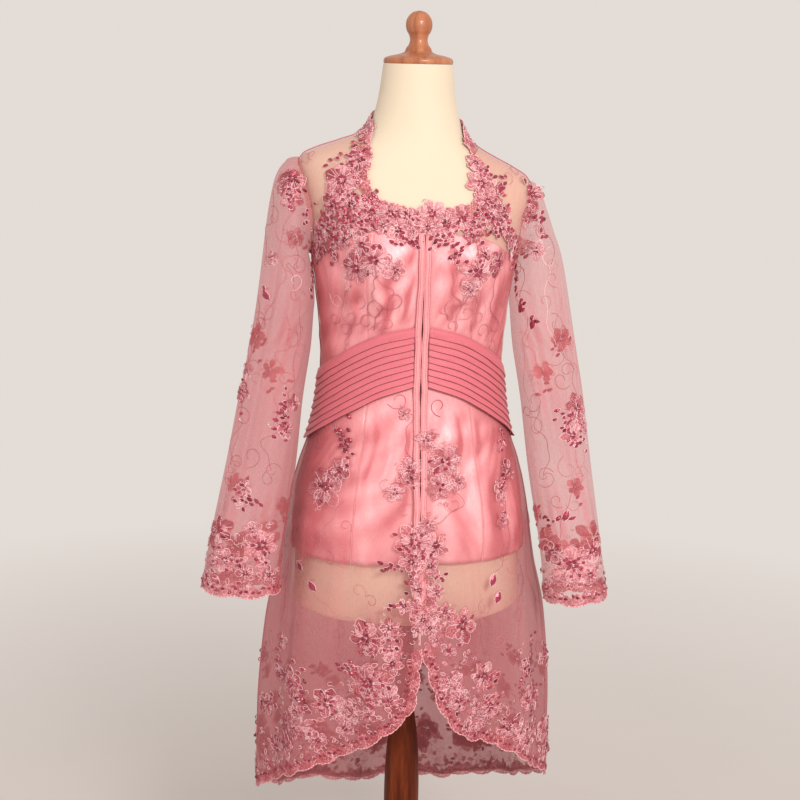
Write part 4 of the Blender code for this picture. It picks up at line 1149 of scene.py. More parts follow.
class Needlework:
    """Embroidery on one piece of cloth: shapes drawn flat, in metres, and laid on its surface."""

    def __init__(self, name, seed):
        self.name = name
        corners, faces = [], []
        for under in (name, name.replace("front", "placket")):
            if under in cloth:
                start = len(corners)
                corners += [v.co[:] for v in cloth[under].data.vertices]
                faces += [tuple(i + start for i in p.vertices) for p in cloth[under].data.polygons]
        self.tree = BVHTree.FromPolygons(corners, faces)
        self.shapes = {kind: ([], [], []) for kind in LOOKS}
        self.chance = np.random.default_rng(seed)

    def seen(self, x, y):
        """The spot seen at a point of the picture: place, right, up and out, or None beside the cloth."""
        eye, ray = picture_ray(x, y)
        place, normal, *_ = self.tree.ray_cast(eye, ray)
        return place and self.spot(place, facing(normal, -ray), camera_axes()[1])

    def round(self, angle, depth):
        """The spot at an angle and a depth, seen from outside."""
        turn = math.radians(angle)
        out = Vector((math.sin(turn), -math.cos(turn), 0))
        place, normal, *_ = self.tree.ray_cast(Vector((0, 0, CAP_UNDERSIDE - depth)) + out, -out)
        return place and self.spot(place, facing(normal, out), Vector((-out.y, out.x, 0)))

    def near(self, place, way):
        """The spot on the cloth nearest a place, facing a way."""
        way = Vector(way)
        found, normal, *_ = self.tree.find_nearest(Vector(place))
        normal = facing(normal, way)
        return self.spot(found, normal, Vector((0, 0, 1)).cross(normal).normalized())

    @staticmethod
    def spot(place, normal, right):
        up = normal.cross(right).normalized()
        return place, up.cross(normal), up, normal

    def lay(self, spot, flat, lift):
        """Points on the cloth, or past its edge, under points drawn flat, and the way out at each."""
        place, right, up, out = spot
        lift = np.broadcast_to(lift, len(flat))
        points, ways = [], []
        for (u, v), rise in zip(flat, lift):
            above = place + right * u + up * v
            hit, normal, *_ = self.tree.ray_cast(above + out * LAID_FROM, -out, LAID_REACH)
            if hit is None:
                away = (self.tree.find_nearest(above)[0] - above).dot(out)
                hit, normal = above + out * min(max(away, -LAID_FROM), PAST_EDGE), out
            normal = facing(normal, out)
            points.append(hit + normal * rise)
            ways.append(normal)
        return np.array(points), np.array(ways)

    def add(self, kind, points, faces, tone=0.0):
        """Points and faces of one island, with a tone for its colour."""
        all_points, all_faces, tones = self.shapes[kind]
        start = sum(map(len, all_points))
        all_points.append(points)
        all_faces.extend([tuple(i + start for i in face) for face in faces])
        tones.extend([tone] * len(points))

    def thread(self, spot, line, radius, lift, kind):
        """A cord along a drawn line: a ridge, open only where it lies on the cloth."""
        points, ways = self.lay(spot, line, lift)
        side = steady(np.cross(np.gradient(points, axis=0), ways))
        ridge = np.stack((points + side * radius, points + ways * radius * 1.4, points - side * radius), 1)
        self.add(kind, ridge.reshape(-1, 3), grid_faces(len(points), 3), self.chance.random())

    def leaf(self, spot, middle, turn, length, width, kind, rise, tone, rim, blunt=0.8):
        """A petal or leaf from its base, turned from up, domed, with a cord round it unless rim is None."""
        along = heading(turn)
        across = np.array((along[1], -along[0]))
        share = np.linspace(0, 1, LEAF_ROWS)
        half = width / 2 * np.sin(math.pi * np.clip(share, 0.02, 0.98) ** blunt) ** 0.75
        side = np.linspace(-1, 1, LEAF_COLUMNS)
        wide = (half[:, None] * side)[..., None] * across
        flat = np.array(middle) + share[:, None, None] * length * along + wide
        dome = 0.0005 + rise * np.sin(math.pi * share)[:, None] * (1 - 0.6 * side**2)
        points, _ = self.lay(spot, flat.reshape(-1, 2), dome.ravel())
        self.add(kind, points, [f[::-1] for f in grid_faces(LEAF_ROWS, LEAF_COLUMNS)], tone)
        if rim:
            outline = np.concatenate((flat[:, 0], flat[::-1, -1]))
            self.thread(spot, resampled(outline, 10), RIM, RIM_LIFT, rim)

    def any_turn(self):
        """Any direction, in radians."""
        return self.chance.random() * FULL_TURN

    def any_place(self, wide, tall):
        """Any place over an oval."""
        reach, way = math.sqrt(self.chance.random()), self.any_turn()
        return np.array((wide * reach * math.cos(way), tall * reach * math.sin(way)))

    def pick(self, pale):
        """Pale thread or rose, by chance."""
        return "thread" if self.chance.random() < pale else "vine"

    def dark_leaves(self, spot, count, spread, turn, middle=(0, 0)):
        """Burgundy sequin leaves that lie one way, none on another, most of them outlined in pale thread."""
        placed = []
        for _ in range(count * 8):
            at = np.array(middle) + self.chance.normal(0, 1, 2) * spread
            if len(placed) < count and all(np.hypot(*(at - p)) > LEAF["apart"] for p in placed):
                placed.append(at)
        for at in placed:
            lean = turn + self.chance.normal(0, 0.35)
            size = self.chance.uniform(0.85, 1.15)
            rim = "thread" if self.chance.random() < 0.6 else None
            tone = self.chance.random()
            long, wide = LEAF["long"] * size, LEAF["wide"] * size
            self.leaf(spot, at, lean, long, wide, "sequin", SEQUIN_DOME, tone, rim)

    def bead(self, spot, middle):
        """A crystal, half sunk in the work, near white as a painted glint."""
        points, _ = self.lay(spot, [middle], BEAD * 0.7)
        corners = np.array([(1, 0, 0), (-1, 0, 0), (0, 1, 0), (0, -1, 0), (0, 0, 1), (0, 0, -1)]) * BEAD
        faces = [(0, 2, 4), (2, 1, 4), (1, 3, 4), (3, 0, 4), (2, 0, 5), (1, 2, 5), (3, 1, 5), (0, 3, 5)]
        turned_corners = corners @ np.array(Matrix.Rotation(self.chance.random() * 3, 3, "X"))
        self.add("crystal", points[0] + turned_corners, faces)

    def loops(self, spot, wide, tall, count, size=(0.0018, 0.0042), pale=0.45):
        """Small open loops of thread over an oval: the close stitching between the motifs."""
        for _ in range(count):
            middle = self.any_place(wide, tall)
            t = self.any_turn() + np.linspace(0, self.chance.uniform(2.5, 6.0), 5)
            radius = self.chance.uniform(*size) * np.linspace(1, 0.6, 5)
            squash = self.chance.uniform(0.5, 1.0)
            line = middle + np.stack((np.cos(t), np.sin(t) * squash), -1) * radius[:, None]
            self.thread(spot, line, RIM, OVER_LIFT, self.pick(pale))

    def flower(self, spot, radius, tone, petals, filled=True):
        """Petals in two rounds about burgundy leaves; unfilled flowers are open work."""
        start = self.chance.random() * 2
        kind = "petal" if filled else "gauze"
        for layer, count, reach, wide in ((0, petals, 0.82, 0.74), (1, petals - 1, 0.52, 0.46)):
            lift = LAYER_LIFT * layer
            for k in range(count):
                turn = start + layer * 0.5 + 2 * math.pi * (k + self.chance.uniform(-0.12, 0.12)) / count
                base = heading(turn) * radius * 0.2
                size = radius * reach * self.chance.uniform(0.8, 1.15)
                shade = np.clip(tone + self.chance.normal(0, 0.25) + 0.12 * layer, 0, 1)
                width = radius * wide * self.chance.uniform(0.8, 1.1)
                rim = self.pick(0.65 if filled else 0.35)
                self.leaf(spot, base, turn, size, width, kind, PETAL_DOME + lift, shade, rim, 1.25)
                for lean in (-0.35, 0.05, 0.4) if filled else (0.1,):
                    vein = base + np.outer(np.linspace(0.1, 0.8, 3), heading(turn + lean)) * size
                    self.thread(spot, vein, RIM * 0.9, OVER_LIFT + lift, self.pick(0.3))
        seeds = 6 if filled else 3
        for k in range(seeds):
            turn = start + 2 * math.pi * (k + self.chance.uniform(-0.2, 0.2)) / seeds
            base, tone = heading(turn) * radius * 0.08, self.chance.random()
            self.leaf(spot, base, turn, radius * 0.30, radius * 0.17, "sequin", 0.003, tone, None)
        self.loops(spot, radius, radius, int(radius * (500 if filled else 700)))
        self.bead(spot, (radius * 0.05, 0))

    def ground(self, spot, wide, tall, tone):
        """Lace that covers an oval: overlapping small petals with close stitching over them."""
        count = max(int(math.pi * wide * tall / PETAL_AREA), 4)
        for _ in range(count):
            middle, turn = self.any_place(wide, tall), self.any_turn()
            size = self.chance.uniform(0.007, 0.013)
            shade = np.clip(tone + self.chance.normal(0, 0.25), 0, 1)
            base = middle - size / 2 * heading(turn)
            rim = self.pick(0.55) if self.chance.random() < 0.7 else None
            self.leaf(spot, base, turn, size, size * 0.6, "petal", 0.0007, shade, rim, 1.1)
        self.loops(spot, wide, tall, count)

    def vine(self, spot, line, pale):
        """A long thin line of stitches, rose or, by chance, pale and thinner."""
        kind = self.pick(pale)
        self.thread(spot, line, VINE if kind == "vine" else RIM * 0.8, FLAT_LIFT, kind)

    def curl(self, spot, radius, turn, hand=1):
        """A thin tendril that winds in to a loop."""
        t = np.linspace(0, 1, 13)
        angle = turn + hand * t * CURL_TURNS * 2 * math.pi
        line = np.stack((np.cos(angle), np.sin(angle)), -1) * (radius * (0.72 + 1.1 * (1 - t) ** 4))[:, None]
        self.vine(spot, line, 0.10)

    def tendril(self, spots):
        """A thin vine through spots, drawn from its middle one."""
        if any(s is None for s in spots):
            return
        spot = spots[len(spots) // 2]
        flat = np.array([((s[0] - spot[0]).dot(spot[1]), (s[0] - spot[0]).dot(spot[2])) for s in spots])
        count = 8 * (len(flat) - 1) + 1
        line = resampled(flat, count)
        step = np.arange(count)
        swing = np.sin(step * 0.69) * TENDRIL_SWING * eased(np.minimum(step, step[::-1]) / 5)
        across = steady(np.gradient(line, axis=0)[:, ::-1] * (1, -1))
        self.vine(spot, line + across * swing[:, None], 0.12)

    def finish(self):
        """Makes one piece for each kind of work."""
        for kind, (points, faces, tones) in self.shapes.items():
            if not points:
                continue
            flat = kind in ("sequin", "crystal")
            made = add_mesh(f"{kind}_{self.name}", np.concatenate(points), faces, LOOKS[kind], flat)
            paint(made, "tone", tones)
            sewn[self.name].append(put(made, "net"))


def stitched_look(name, cover, dark, middle, pale):
    """Embroidery: a tone for each shape, broken up by stitches, with gaps if cover is under 1."""
    look = Look(name, Roughness=0.55, Sheen_Tint=(1.0, 0.6, 0.6))
    look.set(look.shader, "Specular IOR Level", 0.25)
    tone = look.painted("tone")
    stitches = look.noise(650.0, 2.0, look.stretched((1, 1, 0.6)))
    narrow, wide = {"From_Min": 0.25, "From_Max": 0.75}, {"To_Min": -0.42, "To_Max": 0.42}
    spread = look.node("ShaderNodeMapRange", Value=stitches, **narrow, **wide)
    mixed = look.sum(tone, spread.outputs["Result"])
    colour = look.ramp(mixed, (0.1, dark), (0.5, middle), (0.9, pale))
    look.set(look.shader, "Base Color", colour)
    look.bump(stitches, 0.5, 0.0006)
    if cover < 1:
        holes = look.ramp(look.noise(780.0, 1.0), (0.42, cover), (0.55, 1.0))
        worked = look.blend(look.shader.outputs["BSDF"], look.through(colour), 0.25)
        look.show(look.blend(look.clear(), worked, holes))
    return look.material


def thread_look(name, dark, pale, roughness, **values):
    look = Look(name, Roughness=roughness, **values)
    tone = look.painted("tone")
    mixed = look.sum(tone, look.noise(300.0, 1.0))
    look.set(look.shader, "Base Color", look.ramp(mixed, (0.3, dark), (1.0, pale)))
    look.set(look.shader, "Specular IOR Level", 0.3)
    return look.material


LOOKS = {
    "petal": stitched_look("petal_thread", 0.6, (0.36, 0.06, 0.074), (0.62, 0.175, 0.2), (0.9, 0.47, 0.5)),
    "gauze": stitched_look("gauze_thread", 0, (0.5, 0.135, 0.155), (0.68, 0.265, 0.295), (0.84, 0.47, 0.51)),
    "thread": thread_look("pale_thread", (0.64, 0.25, 0.285), (0.88, 0.58, 0.61), 0.4),
    "vine": thread_look("rose_thread", (0.3, 0.056, 0.074), (0.54, 0.162, 0.19), 0.5),
    "sequin": thread_look("burgundy_sequin", (0.105, 0.01, 0.022), (0.36, 0.05, 0.085), 0.28, Metallic=0.3),
    # The crystals are near white: painted glints on real beads.
    "crystal": thread_look("crystal", (0.8, 0.7, 0.72), (0.98, 0.95, 0.96), 0.05, Metallic=0.3),
    "edge": stitched_look("edge_thread", 1, (0.49, 0.14, 0.168), (0.72, 0.31, 0.345), (0.9, 0.6, 0.62)),
}


class Edge:
    """A line along a cloth's edge at even steps: places, ways off the edge and ways out of its face."""

    def __init__(self, points, outs, ways, step=0.0015):
        travelled = travel(points)
        self.at = np.linspace(0, travelled[-1], max(int(travelled[-1] / step), 8))
        self.line, out, way = (Curve(travelled, v)(self.at) for v in (points, outs, ways))
        self.way = steady(way)
        across = steady(np.cross(np.gradient(self.line, axis=0), self.way))
        self.out = across * np.sign((across * out).sum(-1, keepdims=True))

    def spot(self, work, at, inside):
        """The spot a distance along and a distance inside the edge."""
        i = int(np.clip(at / self.at[-1] * (len(self.at) - 1), 0, len(self.at) - 1))
        return work.near(self.line[i] - self.out[i] * inside, self.way[i])


LACE_LIFT = 0.0007  # how far the lace band lies over the cloth
EDGE_CORD = 0.0009  # the radius of the cord along its lobes
EDGE_CORD_SIDES = 5


def border(work, label, edge, inner, pitch, reach):
    """A lobed band of lace along an edge, with a corded rim. Waves vary its lobes and tones."""
    at = edge.at
    lobes = abs(np.sin(math.pi * at / pitch + 0.4 * np.sin(at * 31))) ** 0.7
    rim = 0.0004 + reach * lobes + 0.0010 * abs(np.sin(math.pi * at / 0.0085))
    start = -inner * (1 + 0.3 * np.sin(at * 95) + 0.2 * np.sin(at * 433))
    shares = np.linspace(0, 1, 7)
    offsets = start[:, None] + (rim - start)[:, None] * shares
    band = edge.line[:, None] + edge.out[:, None] * offsets[..., None]
    for i, j in np.argwhere(offsets < -0.002):
        band[i, j] = work.tree.find_nearest(Vector(band[i, j]))[0]
    rise = LACE_LIFT + 0.0004 * np.sin(math.pi * shares)
    band = band + edge.way[:, None] * rise[:, None]
    made = add_grid(f"lace_{label}", band, LOOKS["petal"])
    tones = 0.42 + 0.16 * np.sin(at * 760)[:, None] * np.sin(shares * 9) + 0.12 * np.sin(at * 210)[:, None]
    turn = np.linspace(0, 2 * math.pi, EDGE_CORD_SIDES, endpoint=False)
    middle = edge.line + edge.out * rim[:, None] + edge.way * LACE_LIFT
    ring = [middle + EDGE_CORD * (edge.out * math.cos(t) + edge.way * math.sin(t)) for t in turn]
    corded = add_grid(f"edge_{label}", np.stack(ring, 1), LOOKS["edge"], ring=True)
    stitches = np.repeat(0.5 + 0.3 * np.sin(np.arange(len(at)) * 2.1), EDGE_CORD_SIDES)
    for obj, values in ((made, tones), (corded, stitches)):
        paint(obj, "tone", values)
        sewn[work.name].append(put(obj, "net"))


EDGING = 0.0085  # the small leaves' distance from the edge, and from each other


def edging(work, edge, inside, pitch):
    """A row of small leaves and stitches inside the border's rim."""
    for k, at in enumerate(np.arange(pitch, edge.at[-1] - pitch, pitch)):
        spot = edge.spot(work, at, inside * work.chance.uniform(0.8, 1.2))
        turn = math.pi / 2 + work.chance.normal(0, 0.5)
        long, wide, tone = 0.0068, 0.0038, work.chance.random() * 0.6
        work.leaf(spot, (0, -0.003), turn, long, wide, "sequin", 0.0026, tone, None)
        if k % 2:
            work.loops(spot, 0.006, 0.006, 2)


def scatter(work, edge, near, far, count):
    """Small stitched work that thins out away from an edge: loops, petals and a few dark leaves."""
    for _ in range(count):
        inside = near + (far - near) * work.chance.random() ** 1.5
        spot = edge.spot(work, work.chance.random() * edge.at[-1], inside)
        pick = work.chance.random()
        if pick < 0.60:
            work.loops(spot, 0.006, 0.006, 2, (0.0025, 0.0055), 0.2)
        elif pick < 0.93:
            size = work.chance.uniform(0.006, 0.011)
            turn, tone, rim = work.any_turn(), work.chance.uniform(0.2, 0.7), work.pick(0.6)
            work.leaf(spot, (0, 0), turn, size, size * 0.6, "petal", PETAL_DOME, tone, rim)
        else:
            work.dark_leaves(spot, 1, 0.001, work.chance.random() * 3)


def closed(line):
    """The line with its first point again at the end."""
    return np.concatenate((line, line[:1]))


def edges_of(name):
    """A net piece's free edges: its hem or cuff and, where it has them, its neckline or a collar's ends."""
    points = net_grids[name]
    ring = name.startswith("sleeve")
    ways = normals_of(points, ring, name == FACES_IN)
    if ring:
        hem = points[-1], points[-1] - points[-3], ways[-1]
        return {"hem": Edge(*map(closed, hem))}
    if name == "collar":
        return {
            "top": Edge(points[-1], points[-1] - points[-3], ways[-1]),
            "start": Edge(points[:, 0], points[:, 0] - points[:, 2], ways[:, 0]),
            "end": Edge(points[:, -1], points[:, -1] - points[:, -3], ways[:, -1]),
        }
    edges = {"hem": Edge(points[0], points[0] - points[2], ways[0])}
    if name.startswith("front"):
        first = len(points) - 1 - (len(YOKE) - 1 - NECKLINE_FIRST_ROW) * PER_ROW
        last = len(points) - (len(YOKE) - 1 - COLLAR_FIRST_ROW) * PER_ROW
        edge, inner = (0, 2) if name == "front_left" else (-1, -3)
        kept = slice(first, last)
        edges["neck"] = Edge(points[kept, edge], points[kept, edge] - points[kept, inner], ways[kept, edge])
    return edges


# How each free edge is bordered, in metres: the band's width inside the edge, its lobes' length and reach.
BORDERS = {
    "hem_front_left": (0.011, 0.036, 0.0045),
    "hem_front_right": (0.011, 0.038, 0.0045),
    "hem_back": (0.012, 0.040, 0.0050),
    "hem_sleeve_left": (0.012, 0.042, 0.0045),
    "hem_sleeve_right": (0.012, 0.045, 0.0045),
    "neck_front_left": (0.008, 0.014, 0.0050),
    "neck_front_right": (0.008, 0.013, 0.0028),
    "top_collar": (0.007, 0.010, 0.0012),
    "start_collar": (0.006, 0.010, 0.0015),
    "end_collar": (0.006, 0.010, 0.0015),
}
# Small work along the hems and cuffs: its nearest and farthest from the edge in metres, and how many times.
SCATTER = {
    "hem_front_left": (0.012, 0.070, 230),
    "hem_front_right": (0.012, 0.070, 250),
    "hem_back": (0.012, 0.075, 420),
    "hem_sleeve_left": (0.008, 0.045, 70),
    "hem_sleeve_right": (0.008, 0.045, 70),
}

# Places in the picture, in pixels, where the front's ordinary flowers, leaves and tendrils sit.
PIXEL = 0.00142  # metres of the blouse to a pixel of the picture
CENTRE_LINE = 418
OPEN_LACE = (
    # x, y, half the width and height in pixels: stitching with no petals, so that what is under it shows
    (445, 465, 20, 22), (434, 444, 8, 18), (412, 478, 14, 9), (395, 492, 12, 7), (441, 494, 13, 13),
    (432, 518, 7, 14), (328, 486, 12, 14), (341, 468, 8, 12), (318, 503, 6, 11), (503, 450, 4, 13),
    (504, 480, 5, 17), (503, 514, 5, 15), (388, 266, 9, 8), (350, 282, 8, 9), (470, 288, 9, 8),
    (415, 632, 8, 12), (432, 634, 6, 12), (378, 620, 12, 7), (345, 690, 18, 14), (308, 705, 16, 14),
    (282, 705, 8, 20), (505, 700, 10, 16), (470, 665, 14, 14), (450, 612, 10, 8), (395, 610, 12, 8),
    (522, 655, 8, 14), (468, 700, 12, 14), (244, 500, 9, 12), (262, 520, 10, 8), (235, 545, 16, 10),
    (212, 575, 8, 10), (252, 583, 18, 7), (578, 560, 18, 14), (558, 582, 14, 10), (592, 588, 9, 8),
    (548, 560, 8, 12), (578, 420, 10, 16), (243, 385, 6, 16), (288, 420, 6, 18), (283, 185, 6, 12),
    (531, 225, 8, 16),
)  # fmt: skip
GROUNDS = (
    # x, y, half the width and height in pixels, tone
    (370, 122, 4, 10, 0.5), (366, 138, 5, 9, 0.45), (360, 152, 7, 8, 0.45), (356, 168, 9, 9, 0.5),
    (345, 182, 17, 9, 0.45), (342, 202, 18, 11, 0.45), (362, 205, 12, 9, 0.5), (325, 225, 10, 14, 0.35),
    (317, 250, 6, 15, 0.3), (313, 278, 3, 13, 0.3), (342, 228, 14, 9, 0.5), (360, 226, 12, 8, 0.55),
    (378, 218, 11, 9, 0.65), (393, 220, 11, 11, 0.7), (408, 224, 9, 11, 0.65), (404, 238, 8, 5, 0.5),
    (388, 232, 8, 5, 0.6), (334, 248, 6, 12, 0.4), (463, 128, 3, 9, 0.4), (467, 142, 4, 8, 0.4),
    (472, 157, 6, 8, 0.45), (480, 170, 9, 8, 0.45), (485, 186, 12, 10, 0.45), (472, 203, 10, 8, 0.5),
    (490, 205, 15, 10, 0.45), (500, 224, 12, 13, 0.4), (512, 246, 6, 15, 0.3), (517, 276, 3, 16, 0.3),
    (480, 226, 13, 8, 0.5), (460, 220, 11, 10, 0.65), (445, 221, 11, 10, 0.7), (421, 220, 6, 12, 0.6),
    (478, 196, 8, 6, 0.45), (430, 224, 9, 11, 0.65), (442, 238, 13, 5, 0.55), (455, 255, 5, 7, 0.5),
    (431, 575, 7, 20, 0.5), (430, 610, 7, 15, 0.45), (424, 546, 13, 11, 0.6), (424, 528, 7, 8, 0.5),
    (292, 190, 5, 14, 0.35), (532, 200, 6, 14, 0.35), (419, 575, 9, 22, 0.5), (417, 612, 8, 14, 0.45),
    (392, 640, 12, 18, 0.5), (378, 690, 18, 16, 0.5), (345, 712, 22, 12, 0.5), (300, 728, 20, 12, 0.5),
    (436, 628, 9, 14, 0.5), (452, 690, 14, 18, 0.5), (480, 715, 20, 12, 0.5), (520, 730, 15, 10, 0.5),
    (228, 560, 18, 9, 0.5), (262, 562, 9, 9, 0.5), (570, 582, 22, 6, 0.5),
)  # fmt: skip
FLOWERS = (
    # x, y, radius in millimetres, tone, petals, filled
    (342, 180, 26, 0.45, 6, 1), (360, 160, 18, 0.5, 5, 1), (334, 205, 20, 0.3, 5, 1),
    (320, 232, 18, 0.25, 5, 1), (316, 252, 14, 0.25, 5, 1), (352, 207, 20, 0.6, 5, 1),
    (372, 213, 20, 0.75, 6, 1), (390, 214, 18, 0.8, 6, 1), (407, 217, 16, 0.7, 5, 1),
    (398, 230, 17, 0.7, 5, 1), (383, 226, 13, 0.6, 5, 1), (412, 232, 10, 0.5, 5, 1),
    (356, 268, 24, 0.45, 6, 1), (374, 260, 24, 0.85, 6, 1), (395, 270, 16, 0.7, 5, 0),
    (362, 245, 16, 0.55, 5, 1), (345, 240, 14, 0.45, 5, 1), (475, 163, 14, 0.4, 5, 1),
    (481, 184, 22, 0.45, 6, 1), (487, 202, 20, 0.4, 5, 1), (503, 214, 18, 0.35, 5, 1),
    (510, 238, 15, 0.3, 5, 1), (432, 214, 20, 0.8, 6, 1), (446, 224, 20, 0.8, 6, 1),
    (462, 220, 20, 0.75, 5, 1), (428, 228, 13, 0.6, 5, 1), (472, 236, 13, 0.6, 5, 1),
    (478, 272, 24, 0.7, 6, 1), (497, 263, 20, 0.25, 5, 1), (470, 290, 13, 0.6, 5, 0),
    (484, 255, 14, 0.5, 5, 1), (325, 487, 30, 0.4, 6, 0), (340, 470, 18, 0.35, 5, 1),
    (410, 470, 20, 0.7, 5, 0), (446, 462, 24, 0.65, 6, 0), (440, 486, 22, 0.6, 6, 0),
    (395, 492, 15, 0.6, 5, 0), (458, 482, 14, 0.55, 5, 0), (426, 440, 16, 0.6, 5, 0),
    (404, 414, 10, 0.6, 4, 0), (415, 543, 28, 0.8, 6, 1), (436, 545, 18, 0.75, 5, 1),
    (411, 562, 16, 0.45, 5, 1), (430, 566, 15, 0.45, 5, 1), (419, 590, 14, 0.45, 5, 1),
    (428, 525, 14, 0.6, 5, 0), (404, 606, 12, 0.45, 5, 1), (437, 592, 12, 0.45, 5, 1),
    (500, 490, 16, 0.35, 5, 0), (508, 470, 14, 0.35, 5, 0), (502, 520, 14, 0.4, 5, 0),
    (423, 620, 13, 0.45, 5, 1), (417, 630, 10, 0.5, 5, 1), (430, 628, 11, 0.5, 5, 1),
    (366, 638, 26, 0.45, 6, 1), (390, 628, 15, 0.45, 5, 1), (368, 682, 30, 0.6, 6, 1),
    (392, 664, 16, 0.45, 5, 1), (328, 703, 24, 0.5, 6, 1), (291, 683, 24, 0.45, 6, 1),
    (293, 726, 20, 0.45, 5, 1), (345, 728, 15, 0.45, 5, 1), (283, 640, 14, 0.45, 5, 0),
    (390, 700, 14, 0.45, 5, 1), (318, 740, 15, 0.5, 5, 1), (368, 715, 13, 0.5, 5, 1),
    (462, 625, 26, 0.6, 5, 1), (445, 612, 13, 0.45, 5, 1), (448, 650, 12, 0.5, 5, 0),
    (484, 676, 24, 0.5, 6, 1), (490, 706, 20, 0.45, 5, 1), (458, 700, 16, 0.5, 5, 1),
    (527, 700, 20, 0.4, 5, 1), (508, 728, 14, 0.5, 5, 1), (466, 726, 12, 0.5, 5, 1),
    (530, 735, 14, 0.45, 5, 1), (436, 640, 11, 0.5, 5, 1), (292, 178, 18, 0.3, 5, 1),
    (291, 200, 15, 0.45, 5, 1), (272, 258, 12, 0.5, 5, 0), (242, 392, 18, 0.35, 5, 1),
    (247, 372, 12, 0.45, 5, 0), (293, 403, 13, 0.35, 5, 1), (285, 430, 14, 0.4, 5, 1),
    (220, 530, 20, 0.4, 5, 1), (262, 545, 24, 0.65, 6, 1), (252, 530, 14, 0.55, 5, 0),
    (225, 560, 16, 0.5, 5, 1), (245, 573, 14, 0.5, 5, 1), (244, 488, 13, 0.5, 5, 0),
    (208, 575, 12, 0.45, 5, 1), (268, 575, 12, 0.5, 5, 1), (533, 195, 18, 0.45, 5, 1),
    (530, 215, 15, 0.35, 5, 1), (536, 250, 14, 0.5, 5, 0), (577, 408, 22, 0.45, 6, 1),
    (572, 435, 18, 0.65, 5, 1), (582, 425, 14, 0.6, 5, 0), (572, 565, 30, 0.8, 6, 1),
    (592, 550, 22, 0.4, 5, 1), (552, 552, 18, 0.3, 5, 1), (590, 575, 16, 0.6, 5, 1),
    (548, 590, 13, 0.5, 5, 1), (535, 555, 12, 0.35, 5, 1),
)  # fmt: skip
DARK_LEAVES = (
    # x, y, how many, spread across and down in pixels
    (343, 160, 12, 9, 3), (358, 148, 6, 4, 6), (352, 175, 5, 6, 5), (345, 200, 14, 13, 4),
    (362, 197, 9, 8, 4), (372, 203, 9, 4, 3), (335, 215, 16, 12, 6), (350, 222, 12, 10, 5),
    (365, 218, 10, 8, 5), (325, 240, 16, 7, 8), (338, 235, 10, 7, 5), (313, 262, 10, 3, 9),
    (333, 252, 9, 4, 7), (312, 285, 6, 1, 9), (380, 228, 7, 6, 4), (405, 240, 10, 7, 4), (402, 217, 6, 5, 2),
    (416, 244, 6, 3, 2), (357, 262, 5, 2, 5), (372, 250, 6, 6, 2), (488, 172, 8, 7, 4), (500, 190, 6, 4, 6),
    (477, 200, 8, 9, 5), (466, 205, 9, 7, 4), (478, 217, 12, 9, 5), (497, 212, 10, 7, 6),
    (490, 228, 12, 8, 6), (507, 228, 10, 6, 6), (470, 232, 8, 6, 5), (514, 255, 10, 3, 9),
    (516, 285, 7, 1, 10), (432, 242, 7, 6, 3), (450, 246, 8, 8, 3), (456, 258, 9, 5, 5), (440, 238, 5, 4, 3),
    (478, 272, 5, 1, 6), (496, 265, 5, 4, 3), (451, 228, 4, 2, 3), (466, 180, 6, 4, 6), (463, 190, 6, 4, 6),
    (345, 438, 12, 4, 8), (350, 455, 8, 3, 8), (325, 487, 8, 6, 6), (412, 475, 5, 4, 6), (440, 468, 5, 5, 5),
    (415, 545, 12, 8, 8), (425, 556, 6, 6, 4), (394, 570, 7, 5, 2), (412, 585, 5, 3, 4), (503, 480, 8, 2, 12),
    (500, 445, 5, 2, 8), (437, 578, 4, 3, 3), (398, 608, 4, 3, 3), (366, 640, 10, 6, 6), (352, 668, 10, 5, 4),
    (368, 685, 12, 8, 6), (392, 645, 5, 4, 6), (326, 705, 8, 5, 5), (280, 660, 8, 3, 6), (288, 722, 9, 6, 5),
    (300, 690, 5, 6, 4), (372, 700, 5, 6, 4), (463, 625, 9, 5, 6), (485, 680, 9, 5, 5), (490, 700, 8, 5, 5),
    (530, 650, 14, 4, 8), (526, 678, 12, 4, 8), (530, 705, 8, 4, 8), (460, 706, 5, 4, 3), (508, 722, 5, 5, 3),
    (293, 188, 12, 4, 7), (306, 222, 5, 2, 5), (266, 294, 3, 1, 2), (242, 395, 6, 3, 8), (286, 408, 8, 2, 8),
    (285, 425, 12, 4, 7), (244, 495, 6, 4, 4), (252, 505, 7, 6, 3), (220, 530, 12, 5, 8), (265, 552, 9, 5, 5),
    (232, 565, 5, 8, 4), (528, 196, 8, 3, 8), (540, 228, 8, 3, 6), (521, 307, 5, 2, 2), (533, 322, 4, 2, 2),
    (563, 420, 10, 5, 4), (575, 440, 9, 7, 6), (567, 435, 5, 4, 3), (548, 520, 9, 7, 3), (572, 562, 8, 7, 5),
    (556, 548, 3, 1, 2),
)  # fmt: skip
LEAF_PAIRS = (
    (300, 566), (312, 586), (493, 580), (498, 597), (266, 295), (521, 308), (533, 324), (566, 515),
    (500, 188),
)  # fmt: skip
